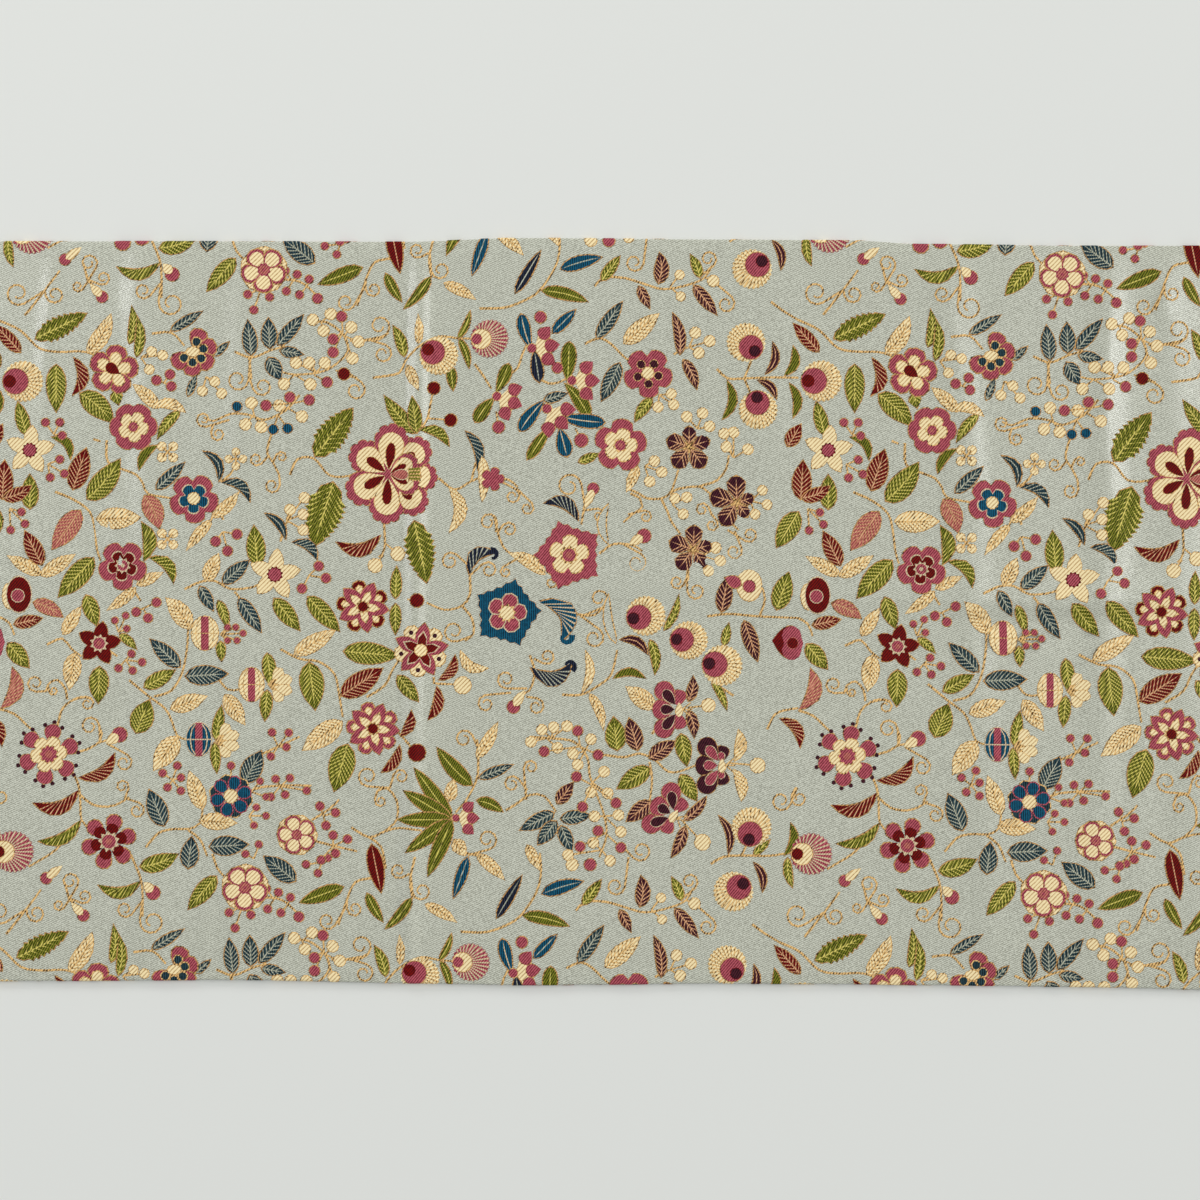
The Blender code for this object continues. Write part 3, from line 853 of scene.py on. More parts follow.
STEMS = (                       # x and t of each place on a stem
    (0, 33.5, 8.5, 37.5, 16.5, 45, 25, 46.5, 35.5, 46.5, 46.5, 51),
    (62.5, -2, 66.5, 7.5, 67.5, 14.5, 67.5, 24), (98, 46.5, 105, 49, 112.5, 46, 119, 44),
    (104, 49, 105, 58), (63.5, 39, 71.5, 38.5, 77, 44), (96.5, -2, 98.5, 4, 102, 8),
    (114.5, 16, 125, 17, 132.5, 23), (163, 7, 156, 9, 152.5, 16.5, 149, 27), (181, -2, 179, 7.5, 180, 15.5),
    (200, 29, 210.5, 29, 219, 26, 225, 22, 231.5, 12.5, 233.5, 4, 233, -4), (146, 41.5, 158, 41, 162, 38),
    (155.5, 57, 166.5, 55, 169, 50, 175, 44, 183, 40, 190.5, 41, 198, 41.5),
    (129, 34, 136.5, 34, 143.5, 39.5, 145, 46, 139.5, 52, 133, 55, 123, 56, 118, 55),
    (125, 64.5, 119, 71, 110.5, 75, 104, 73, 96.5, 72.5, 89, 75.5, 85, 74), (143, 56, 149, 57),
    (174, 80, 178, 75, 180, 66), (198, 52, 202, 57.5, 205, 62.5), (212, 57, 216, 54, 218, 48, 220, 44),
    (225, 58.5, 229, 60.5, 233, 60, 237, 58),
    (248, 20, 252, 16.5, 260.5, 16.5, 269, 19, 277, 21, 287.5, 19, 294, 16, 297, 11),
    (244, 44, 250, 41.5, 255, 44, 259, 48, 262.5, 51),
    (299, 54, 303.5, 58, 310.5, 58, 322, 57.5, 333, 57.5), (314, 49, 310.5, 58), (310.5, 58, 313, 64),
    (321.5, 26, 327, 30, 333, 33.5), (23, 105, 31, 108.5, 37.5, 113.5, 39.5, 121, 40.5, 129, 42, 134),
    (44.5, 83.5, 45, 92.5, 52, 96, 57, 98, 60, 102, 62, 106, 72, 108),
    (77, 146, 83.5, 143, 89.5, 142.5, 96.5, 146, 106, 145, 110, 142.5), (98, 147, 101, 151),
    (19.5, 169, 26, 166.5, 30, 171, 34, 174), (121, 98, 124, 91.5, 131, 91, 137.5, 98, 146, 98, 151, 95),
    (160, 113, 160.5, 128, 158, 132), (183, 99, 189.5, 104, 196, 101, 201, 99), (198.5, 93, 196.5, 101),
    (207, 99.5, 212.5, 100.5, 216, 103.5), (206, 115, 208.5, 125, 211.5, 130, 216, 132),
    (196, 139.5, 196, 148, 192.5, 152.5, 185.5, 154, 178, 151),
    (192.5, 152, 197, 158, 197.5, 164, 194, 167), (244, 110, 242.5, 119),
    (250, 131, 256, 127, 264, 127.5, 268, 130), (263, 106, 267, 108, 268, 111.5, 264, 114.5, 260, 118),
    (262, 104, 266.5, 106, 270, 108, 276, 108, 280, 105, 283, 96),
    (279.5, 106, 283, 104, 291.5, 103, 295, 105, 299, 108), (291.5, 103, 299, 100.5, 303, 95.5, 304, 90),
    (276, 108.5, 278.5, 113.5, 280, 117.5, 284, 123), (288, 132, 287, 142), (303, 116, 308, 121),
    (295, 157, 304, 156, 317, 157, 333, 157.5), (0, 157.5, 4, 160, 6, 165),
    (317, 156.5, 319, 150, 318, 145), (239.5, 156, 248, 156.5, 252.5, 152),
    (0, 196, 6, 198, 11.5, 203, 15, 206), (24, 203, 26, 196, 30, 192.5, 34, 191, 38.5, 192),
    (31, 214.5, 37.5, 212.5, 41.5, 210, 46.5, 209, 52, 209), (41.5, 210, 42.5, 206, 41, 202.5),
    (30, 222, 32.5, 227, 33.5, 233.5, 34, 242.5, 38, 246.5),
    (33.5, 232, 38.5, 236, 45, 237, 50, 235.5, 54, 233), (33.5, 244, 27, 251, 22, 256, 12, 262),
    (54, 184, 62.5, 191, 69, 196, 72, 202, 74, 207.5, 78, 209),
    (64.5, 191, 71.5, 188.5, 76, 181, 78, 171, 78.5, 162.5),
    (61, 254, 66.5, 248, 73, 246.5, 79, 246.5, 83.5, 244, 84.5, 238.5), (78.5, 247, 83.5, 251, 86.5, 258),
    (117, 171, 125, 175, 133, 176, 139.5, 181, 141.5, 189.5, 143, 199), (89, 181, 95, 188, 100, 188),
    (153, 190.5, 160.5, 185.5, 164, 178.5, 168, 173), (181, 182, 181, 184.5, 188, 185),
    (166, 205, 171, 210), (104, 217, 110.5, 214.5, 119, 210.5, 125, 207.5),
    (104, 231, 109, 229, 121, 228, 130, 228), (130, 242.5, 137.5, 237.5, 141.5, 233.5),
    (131, 251, 139.5, 253, 149, 255),
    (157.5, 229.5, 161.5, 228.5, 165.5, 233.5, 165.5, 241.5, 160.5, 246.5),
    (146.5, 245, 154, 249, 160.5, 246.5, 167, 245, 176, 246), (154, 249, 159, 253, 161, 262),
    (199, 208, 199.5, 216, 199, 224, 195, 232.5, 190, 238.5),
    (211, 237.5, 216.5, 234, 221, 231, 227, 231.5, 232, 238), (219.5, 233, 219, 225),
    (221, 173, 223, 180, 221, 187.5, 216, 190), (193.5, 255, 198, 256, 202, 256),
    (234.5, 189.5, 242.5, 189.5, 250, 185.5, 255, 181, 257.5, 171),
    (252, 214.5, 260.5, 215.5, 266.5, 214, 273, 216.5, 278.5, 221.5, 283.5, 221.5, 290, 219),
    (271, 217.5, 272, 225, 271, 234), (272, 206, 275, 201, 276, 198),
    (296.5, 260, 302, 257, 310.5, 256.5, 321, 256.5, 333, 254.5), (309, 257, 312, 251),
    (320, 204, 323, 198, 327, 196, 333, 195), (306, 190, 300, 186),
    (221, 207, 229, 207.5, 239.5, 209, 245, 215.5, 246, 223, 249, 231, 252, 239.5, 253, 248, 250, 257),
    (93, 117, 92, 112, 88, 117), (92, 101, 96, 98, 99, 93), (117, 126, 119, 119, 122, 114),
    (10.4, 31.2, 18.8, 20.8, 25, 12.5), (36.7, 16.7, 35.4, 11.7, 34.6, 9), (36.7, 16.7, 41, 20.5),
    (114, 79, 112.3, 84, 111.5, 89, 114, 93, 116.5, 98),
    (28, 192, 27.3, 187.5, 24, 183.8, 20.3, 185.5, 19, 189), (39, 83, 42, 84), (56, 146.5, 59, 151),
    (46, 172, 49, 174), (268, 65, 272, 66.5), (281, 48, 287, 45),
)

TENDRILS = (                    # root x and t, middle x and t, radius
    (18.8, 20.8, 7.5, 22, 5), (18.8, 20.8, 23, 22.5, -3.8), (36.7, 16.7, 37, 9.2, -3.7),
    (36.7, 16.3, 43, 15.5, -3), (36.7, 17, 32.5, 19, 2.4), (67.5, 16.7, 71.5, 26.2, -5.2),
    (67, 18, 60, 21, 3.5), (104.6, 48.8, 99.2, 58.3, 4.6), (104, 57, 109.5, 61, -4),
    (95.8, 75, 85, 74.8, 3.3), (88.8, 77.5, 91, 81, -3), (152.5, 15.8, 155.8, 20, -3.3),
    (151.7, 20, 144.3, 25.4, 3.7), (179.2, 5, 183.8, 12.3, -3.9), (178.8, 5, 174, 3.8, 3.3),
    (150, 41.7, 158.3, 35.4, -4.6), (155, 41.5, 159.6, 47, 4), (145.8, 55.4, 148.3, 62.3, 4.2),
    (270, -2, 264.6, 10, 3.9), (291.7, 16, 295.5, 8.3, -3.5), (298, 18, 302.8, 27, 3.8),
    (112, 90, 107, 91.5, 2.9), (114, 92.5, 117.5, 90.5, 2.3), (116.5, 98, 113.5, 102.5, 3.3),
    (206.5, 99.7, 213.8, 107.2, 3.2), (215.5, 104, 219.9, 112.2, 2.9), (206.8, 122, 203.7, 117.8, -3.7),
    (207.6, 122, 212.4, 121, 3.1), (195.8, 136, 187.8, 133.8, -3.8), (196.4, 139.5, 203.8, 137.7, 3.5),
    (196.9, 165, 189.4, 163, 4.4), (243.9, 110.6, 237.4, 103, -5.2), (243.8, 113, 249.9, 115.2, 2.9),
    (262, 114.7, 269.3, 115.6, 2.7), (260, 127, 265.5, 134.8, 4.2), (297, 115, 292.9, 112.6, -2.9),
    (296.5, 114, 297, 119, 2.7), (303.5, 121, 312.7, 123, -3.2), (306.5, 121.5, 306.2, 130, 3.4),
    (287.5, 139, 282.4, 142.7, 3), (286.5, 138, 290.4, 146.4, -3.7), (242, 157.3, 249.9, 149.6, -4),
    (243, 157.3, 247.8, 166, 4.2), (19.2, 188.5, 14.8, 185.2, 3.5), (20, 185.6, 22.3, 188.3, -1.9),
    (30, 192.3, 36.4, 193.8, 3), (41.7, 209.4, 37.5, 203.2, -4), (44.6, 210.5, 51.7, 218.6, 3.6),
    (52.2, 233.5, 51, 228.6, -2.9), (51.8, 233.3, 57.2, 238.6, 3.4), (162.7, 228.3, 153.5, 223.6, 4.2),
    (157.5, 229.5, 158.8, 233.8, -2.5), (162.7, 228.3, 167.3, 223.6, 3.2),
    (200.3, 213.6, 193.6, 207.8, -3.8), (219.9, 186.9, 211.1, 183.1, 3.8),
    (213.2, 188.6, 202.8, 193.2, -3.6), (219.9, 229, 213.6, 226.5, -3.5), (219, 227, 221.5, 219.5, 3),
    (195.2, 256.2, 203.2, 249.5, -4.2), (222.8, 174.5, 228.2, 173.6, -3.3),
    (219.5, 190.3, 223.6, 194.4, 3.5), (259.5, 252.4, 267.4, 254.5, -4.2), (332.5, 228, 325.8, 233.6, 4.2),
    (332, 228, 333.3, 232.6, -3.4), (226, 137, 230, 143, 2.6), (216, 133, 211, 138.6, -2.4),
)

LEAVES = {                      # thread, vein and style: base x and t, tip x and t, width, bend
    ("green", "vein", "veined"): (
        (3.5, -1.5, 5.5, 10.5, 3.5, 1), (66.5, 9, 49, 10.5, 4.5, -4.5), (66.5, 3, 82, -2, 7, 1),
        (98, 7.5, 86.5, 21, 7, 0), (54, 43, 55, 27.5, 4, 1.5), (57, 48.5, 57.5, 32, 4, 1.5),
        (23.5, 52, 23.5, 71.5, 8, 0), (48, 63, 49.5, 68.5, 5, 0), (33.5, 64, 47, 76, 9, -1),
        (75, 71.5, 66, 83, 4, 1), (11, 81, 7.5, 67.5, 5.5, 0), (168.5, 48, 164, 35.5, 4.5, 1),
        (174, 80, 160.5, 64.5, 6, -1), (174, 80, 172, 65, 5.5, 0), (175, 79, 187, 86, 4.6, -2.5),
        (251, 17.5, 258.5, 7.5, 4.5, 0), (272, 66.5, 265, 76, 4.5, 0.5), (292, 16, 288, 6.5, 4, 0.5),
        (327, 56.5, 330.5, 44.5, 4, 2), (301, 75, 303, 59, 4, 2.5), (329, 60, 330.5, 74, 4, -2),
        (21.5, 82.5, 29, 91.5, 4, -2.5), (36.5, 108, 50, 91.5, 9.5, 1), (12.5, 112, 12.5, 98, 7, 0),
        (39, 133, 24.5, 149, 9, 0), (60, 134, 59, 118, 6, 2.5), (62.5, 133, 72, 143.5, 5, -3),
        (66, 86, 58.5, 96, 4, 1.5), (36, 148.5, 40.5, 161, 6.5, 0), (91, 151, 95, 162, 4, -0.5),
        (92, 168, 92.5, 176, 4, 0), (107.5, 136, 106, 119.5, 7.5, 0), (3.5, 168.5, 12, 178.5, 7, 0),
        (50, 165, 57, 171, 3.5, -0.5), (165, 149, 165.5, 136, 4.5, 0), (165, 151.5, 165, 164, 4.5, 0),
        (128.5, 149, 141.5, 163, 7.5, 0), (114.5, 150, 125, 163, 7, 0), (143.5, 171.5, 166, 173, 9, 0),
        (241.5, 93, 250, 89.5, 3.5, 0), (333, 113.5, 324, 128, 8.5, 0), (324, 154, 329, 138.5, 8, 0),
        (277, 162.5, 283, 148, 3, 1.5), (271, 167, 273, 181, 4, -1.5), (256, 183, 269, 183, 3.5, -2),
        (297, 184, 303, 196, 3, -1), (302, 169, 304, 160, 3.5, 0), (41.5, 178.5, 41, 193.5, 8, 0),
        (33.5, 242.5, 16, 251, 5, -3), (57, 206, 62.5, 192.5, 9.5, 0), (60.5, 187, 73, 180, 6, 0),
        (90, 209, 92.5, 195, 4.5, 0), (89.5, 210.5, 90.5, 223, 4, 0), (111.5, 173, 113.5, 187.5, 5.5, 0),
        (111.5, 188.5, 110.5, 201, 5, 0), (129, 176.5, 131.5, 196, 10, 0),
        (145, 210.5, 139.5, 230, 10.5, 0), (166, 181.5, 174.5, 192, 6, 0), (257.5, 212.5, 256, 199, 8.5, 0),
        (284, 206, 286.5, 219, 6.5, 0), (271, 220, 257.5, 228.5, 7.5, 0), (284, 223, 290.5, 233.5, 6.5, 0),
        (314.5, 256, 321, 250, 3, 0), (327, 256, 329.5, 243, 4, 2),
    ),
    ("green", "vein", "toothed"): (
        (15, 41, 36, 30.5, 8, 0), (131.5, 90, 147, 70, 11, 0), (139, 101, 131, 127.5, 14.5, 0),
        (173, 117, 178, 142.5, 11, 0),
    ),
    ("green", "vein", "smooth"): (
        (151, 11, 133, 18, 6, 0), (161, 13.5, 167.5, 25, 4, 0.5), (179.5, 15, 168.5, 28, 4, -1),
        (191, 41, 196, 30, 2.5, 1), (191.5, 41.5, 195.5, 53.5, 3, -1), (188, 52.5, 189, 62.5, 4, 0),
        (226, 22, 245, 26.5, 5, -1), (220, 92, 229, 79, 4.5, 0), (197, 227, 182.5, 211.5, 6.5, -1),
        (199, 233.5, 209.5, 238, 4.5, -1),
    ),
    ("green", "vein", "spoon"): (
        (207, 64, 212, 52.5, 5, 0.5), (206, 66.5, 198.5, 76, 5.5, 0.5), (236.8, 60, 237.5, 43.5, 6, 0),
        (235.5, 60.5, 245.5, 74, 5.5, -1),
    ),
    ("cream", "gold", "veined"): (
        (36.5, 46.5, 46, 31, 6.5, 1.5), (66, 70, 56, 60.5, 5, 0.5), (64, 69.5, 77, 72, 4.5, -2),
        (174.5, 42.5, 174.5, 31, 3, 0.5), (170, 52, 174.5, 62, 4, 0), (185.5, 18, 198, 25, 4, -0.5),
        (207, -3, 218, 7, 4.5, -0.5), (260.5, 43.5, 274.5, 31.5, 7, 0), (40.5, 116.5, 58.5, 116, 8.5, 0),
        (17, 139.5, 3.5, 132, 5, 0), (17.5, 140, 31, 131.5, 5.5, 0), (88.5, 115.5, 99.5, 105.5, 4.5, 1),
        (88, 117.5, 78, 129.5, 4, 0.5), (26.5, 164.5, 33.5, 153.5, 5, 0), (56.5, 145.5, 45, 154.5, 4, -0.5),
        (57.5, 144, 68, 139, 4, 0), (79, 162.5, 69.5, 150, 7.5, 1), (86, 142.5, 91, 131.5, 6, 0),
        (123, 173, 139.5, 163, 6.5, 0), (187, 103, 187, 121.5, 5.5, -4), (227, 139.5, 212.5, 131, 5, 1.5),
        (266, 95, 261.5, 105, 4, 0), (31, 173, 29, 187.5, 7, 0), (71.5, 196, 86, 191, 6.5, 0),
        (74, 208, 64.5, 221.5, 8.5, 0), (94, 190.5, 102, 202.5, 6.5, 0), (84.5, 238, 79, 222.5, 6.5, 0),
        (83.5, 243, 98.5, 244, 6.5, 0), (142.5, 201, 126.5, 213, 8.5, 0), (192.5, 171, 203.5, 178, 4.4, 3),
        (199, 215.5, 207.5, 201, 4.5, 0.5), (187.5, 233.5, 189, 225, 5, 0), (189.5, 250, 194, 256, 5.5, 0),
        (242.5, 188.5, 244, 171.5, 3.5, 2), (246, 189.5, 251.5, 204, 3.5, -1.5),
        (273, 195, 261.5, 186.5, 7, 0), (306.2, 217, 307.8, 204.5, 5, 1.6), (306, 221, 309, 233.5, 5, -1.5),
        (220, 252, 225, 262, 4, 0),
    ),
    ("cream", "gold", "outline"): (
        (254, 127, 254, 110.5, 4, -2), (257, 168, 254, 148, 3.5, -2),
    ),
    ("navy", "vein_grey", "veined"): (
        (71.5, 37.5, 84.5, 29.5, 4, 0), (89.5, 48, 95.5, 42.5, 3, 0), (78.5, 65, 82, 56, 3, 0),
        (105, 48, 103.5, 33.5, 6, 0), (116, 43.5, 126.5, 31, 5.5, 0), (117, 46, 126.5, 47.5, 4.5, 0),
        (112, 49, 117, 58, 6.5, 0), (112.5, 45, 112, 32.5, 6.5, 0), (131, 9, 118, -1, 8, 0),
        (194, 80, 199, 96, 4.5, -2.5), (227, 67.5, 236.5, 64.5, 4, 0), (249, 41.5, 259.5, 26.5, 5.5, 0),
        (258.5, 52, 251, 67.5, 6.5, 0), (65.5, 104, 77, 93, 5, 0), (91, 101, 84.5, 88.5, 4, 2.5),
        (92.5, 101.5, 104, 109.5, 4.5, -3), (119, 125, 110.5, 114.5, 4, 1.5),
        (122, 126.5, 132, 133.5, 4.5, -2.5), (93, 143.5, 104, 134, 6, 0), (83.5, 145, 89, 155, 5, 0),
        (100, 150, 109, 164, 6, 0), (75, 178.5, 63, 167, 6.5, 0), (77.5, 182.5, 95, 181.5, 8, 0),
        (68.5, 245, 62.5, 230, 8, 0), (102, 227, 109, 214, 8.5, 0), (78.5, 263, 80, 250, 7.5, 0),
        (87.5, 254, 103.5, 253, 8, 0), (200, 224, 214, 218.5, 4, 0), (234, 241, 246, 239.5, 5.5, 0),
        (231, 238.5, 217, 245.5, 6, 0), (232, 242, 224.5, 251.5, 6, 0), (234, 244, 238.5, 254.5, 5.5, 0),
    ),
    ("ink", "vein_grey", "veined"): (
        (196, 139.5, 207, 131, 5, -5), (241, 117.5, 227, 110.5, 5, 4.5), (221.5, 178, 238.5, 176, 6, 6),
    ),
    ("blue", "pale", "veined"): (
        (225, 151, 234, 167.5, 7, -8),
    ),
    ("blue", "vein_grey", "smooth"): (
        (203, -2, 197, 15, 4.5, 0), (234, 13, 251, 8, 5.5, -0.5), (230.5, 39.5, 240, 30, 4.5, 0),
    ),
    ("blue", "pale", "spoon"): (
        (221.5, 46, 217.5, 32, 5, -0.5), (233, 74, 252, 76.5, 5.5, 0.5), (227, 67.5, 217, 80, 5.5, 0.5),
        (233.5, 79, 236.5, 90.5, 6, 0),
    ),
    ("ink", "vein_grey", "smooth"): (
        (215, 23, 225.5, 5.5, 4, 0), (225, 60, 223, 47, 5, 0),
    ),
    ("red", "vein_tan", "veined"): (
        (8.5, 46.5, -2, 35, 5.5, 0), (30.5, 49, 30, 64.5, 5, -3.5), (30.5, 104, 36, 87, 8.5, 0),
        (1, 108, 2, 92, 8, 0), (1.5, 107.5, 13, 102.5, 5.5, 1.1), (17.5, 135.5, 10.5, 121.5, 7, 0),
        (6, 160.5, 17.5, 158, 5, 0), (158.5, 122.5, 140.5, 125.5, 6, -4),
        (33, 224.5, 47.5, 214.5, 5.5, 3.3), (32.5, 230, 14, 235, 6, -4), (142.5, 190, 159.5, 178.5, 9, 0),
        (167, 206.5, 171.5, 196, 4.5, 1.5), (166.5, 210.5, 159, 221.5, 4.5, -1.8),
        (182, 186, 178.5, 199.5, 4.8, -2), (183, 183, 189.5, 173, 4.5, 2),
        (325.2, 199.7, 333.4, 211.5, 4.7, -2.9), (328.5, 86, 334, 77, 6, 0),
    ),
    ("red", "vein_tan", "smooth"): (
        (155, 252, 159, 272, 6.5, 0),
    ),
    ("salmon", "vein_tan", "veined"): (
        (33.5, 113, 22, 129, 9, 0), (60.5, 107, 66.5, 120.5, 8, -1), (14, 151.5, 26, 157.5, 6, -1),
        (0.3, 195.4, 4.8, 178.7, 6.5, 3.3),
    ),
    ("plum", "vein_tan", "veined"): (
        (274.5, 18.5, 275, 6, 6, 1.3), (266.5, 20, 271, 29, 4, 0), (289.5, 19.5, 299, 31.5, 5, 0),
        (322, 0.5, 325.5, 12.5, 3.5, -1.5), (283.5, 48, 280.5, 31, 4.5, 1.5), (319, 56, 322, 43, 3.5, 2),
        (316, 59, 323.5, 66.5, 3.5, -1.5), (285, 50.5, 290.5, 62.5, 4.5, -1),
        (301, 155, 303.5, 141, 6.5, 0), (310.5, 159, 316, 175.5, 6, 0), (258.5, 167, 270, 173, 4, -2),
        (287, 192, 289, 182, 4.5, 1), (287, 196.5, 289.5, 207.5, 4.5, -1), (266, 212.5, 262.5, 199.5, 7, 0),
        (271, 216, 281.5, 209, 6.5, 0), (271.5, 234, 261.5, 242, 6.5, 0), (285.5, 241.5, 294.5, 232, 4, 1),
        (285.5, 244.5, 280, 257, 4.5, -1), (232.5, 234.5, 239, 226, 5.5, 0),
        (299.5, 240, 303.5, 256, 3.5, -2),
    ),
}

HOOKS = (                       # thread, middle x and t, radius, start and sweep in degrees, width
    ("ink", 205.4, 131.4, 2.2, -110, 210, 2.4), ("ink", 237.6, 177.6, 2.3, 60, -230, 2.4),
    ("blue", 236.2, 165.6, 2.6, -20, 220, 2.6),
)
BLOOMS = (                      # x, t, radius, kind, turn
    (55.8, 78, 10, "rosette", 0), (12.5, 87.6, 10.3, "cream_star", -12),
    (114.7, 139.8, 10.8, "cream_star", -12), (80.5, 46.5, 10, "eyed_blue", -70),
    (80.9, 108, 10.3, "blue_heart", 14), (51.3, 136, 10.3, "red_heart", 18),
    (41.4, 168.6, 9.3, "red_star", -80), (151.4, 152.7, 11, "double_star", 7),
    (175.6, 170.8, 11.6, "star_on_cream", -82), (155.6, 203.6, 11.2, "round_star", 4),
    (20.4, 214.9, 14, "tasselled", -20), (45.5, 251.6, 11.5, "six_round", -15),
    (96.4, 232.8, 9, "blue_round", -75), (123.9, 248.7, 8.6, "ringed", 180),
    (110.1, 12.1, 10, "ringed", 20), (47.5, 54, 10.3, "cup", -80), (270.3, 55.9, 10.3, "eyed_plum", 15),
    (258.8, 86, 11, "layered", -12), (237.4, 131.6, 14.8, "pentagon", 36),
    (211.5, 155.6, 14.6, "blue_star", -4),
)
FANS = (                        # x, t, radius, way of the fringe, eye, fringe
    (9.6, 58.8, 8.5, 0, "red", "cream"), (183.1, 48, 8, 30, "red", "cream"),
    (204.2, 41.7, 7.8, 0, "rose", "rose"), (313.7, 12.5, 8.2, 141, "plum", "cream"),
    (311.2, 43, 8, -135, "plum", "cream"), (316.2, 71, 8, 85, "plum", "cream"),
    (269.4, 156.8, 8.2, -12, "plum", "cream"), (287.3, 167, 7.9, 5, "plum", "cream"),
    (301.2, 177.4, 8.4, 8, "plum", "cream"), (313.5, 244.6, 8.2, -78, "plum", "cream"),
    (5.4, 255.7, 8.6, 0, "red", "rose"),
)
LILIES = (                      # x, t, way it opens, length
    (221.9, 45.9, -8, 11.8), (238.6, 59.2, 0, 11.8), (228.2, 70.9, 44, 12.2), (207.3, 65.7, 22, 11.4),
    (190.2, 240.7, 0, 10),
)
BUDS = (                        # from x and t to x and t, width
    (34, 2.5, 25, 9.5, 5.5), (37.5, 18, 44.5, 25.5, 5.5), (68, 9.5, 74, 16.5, 6.5),
    (244, 112.5, 248.5, 101.5, 5.5), (262.5, 127, 271.5, 122, 6.5), (44, 210.5, 53, 205, 7),
    (219, 187.5, 212.5, 197, 6),
)
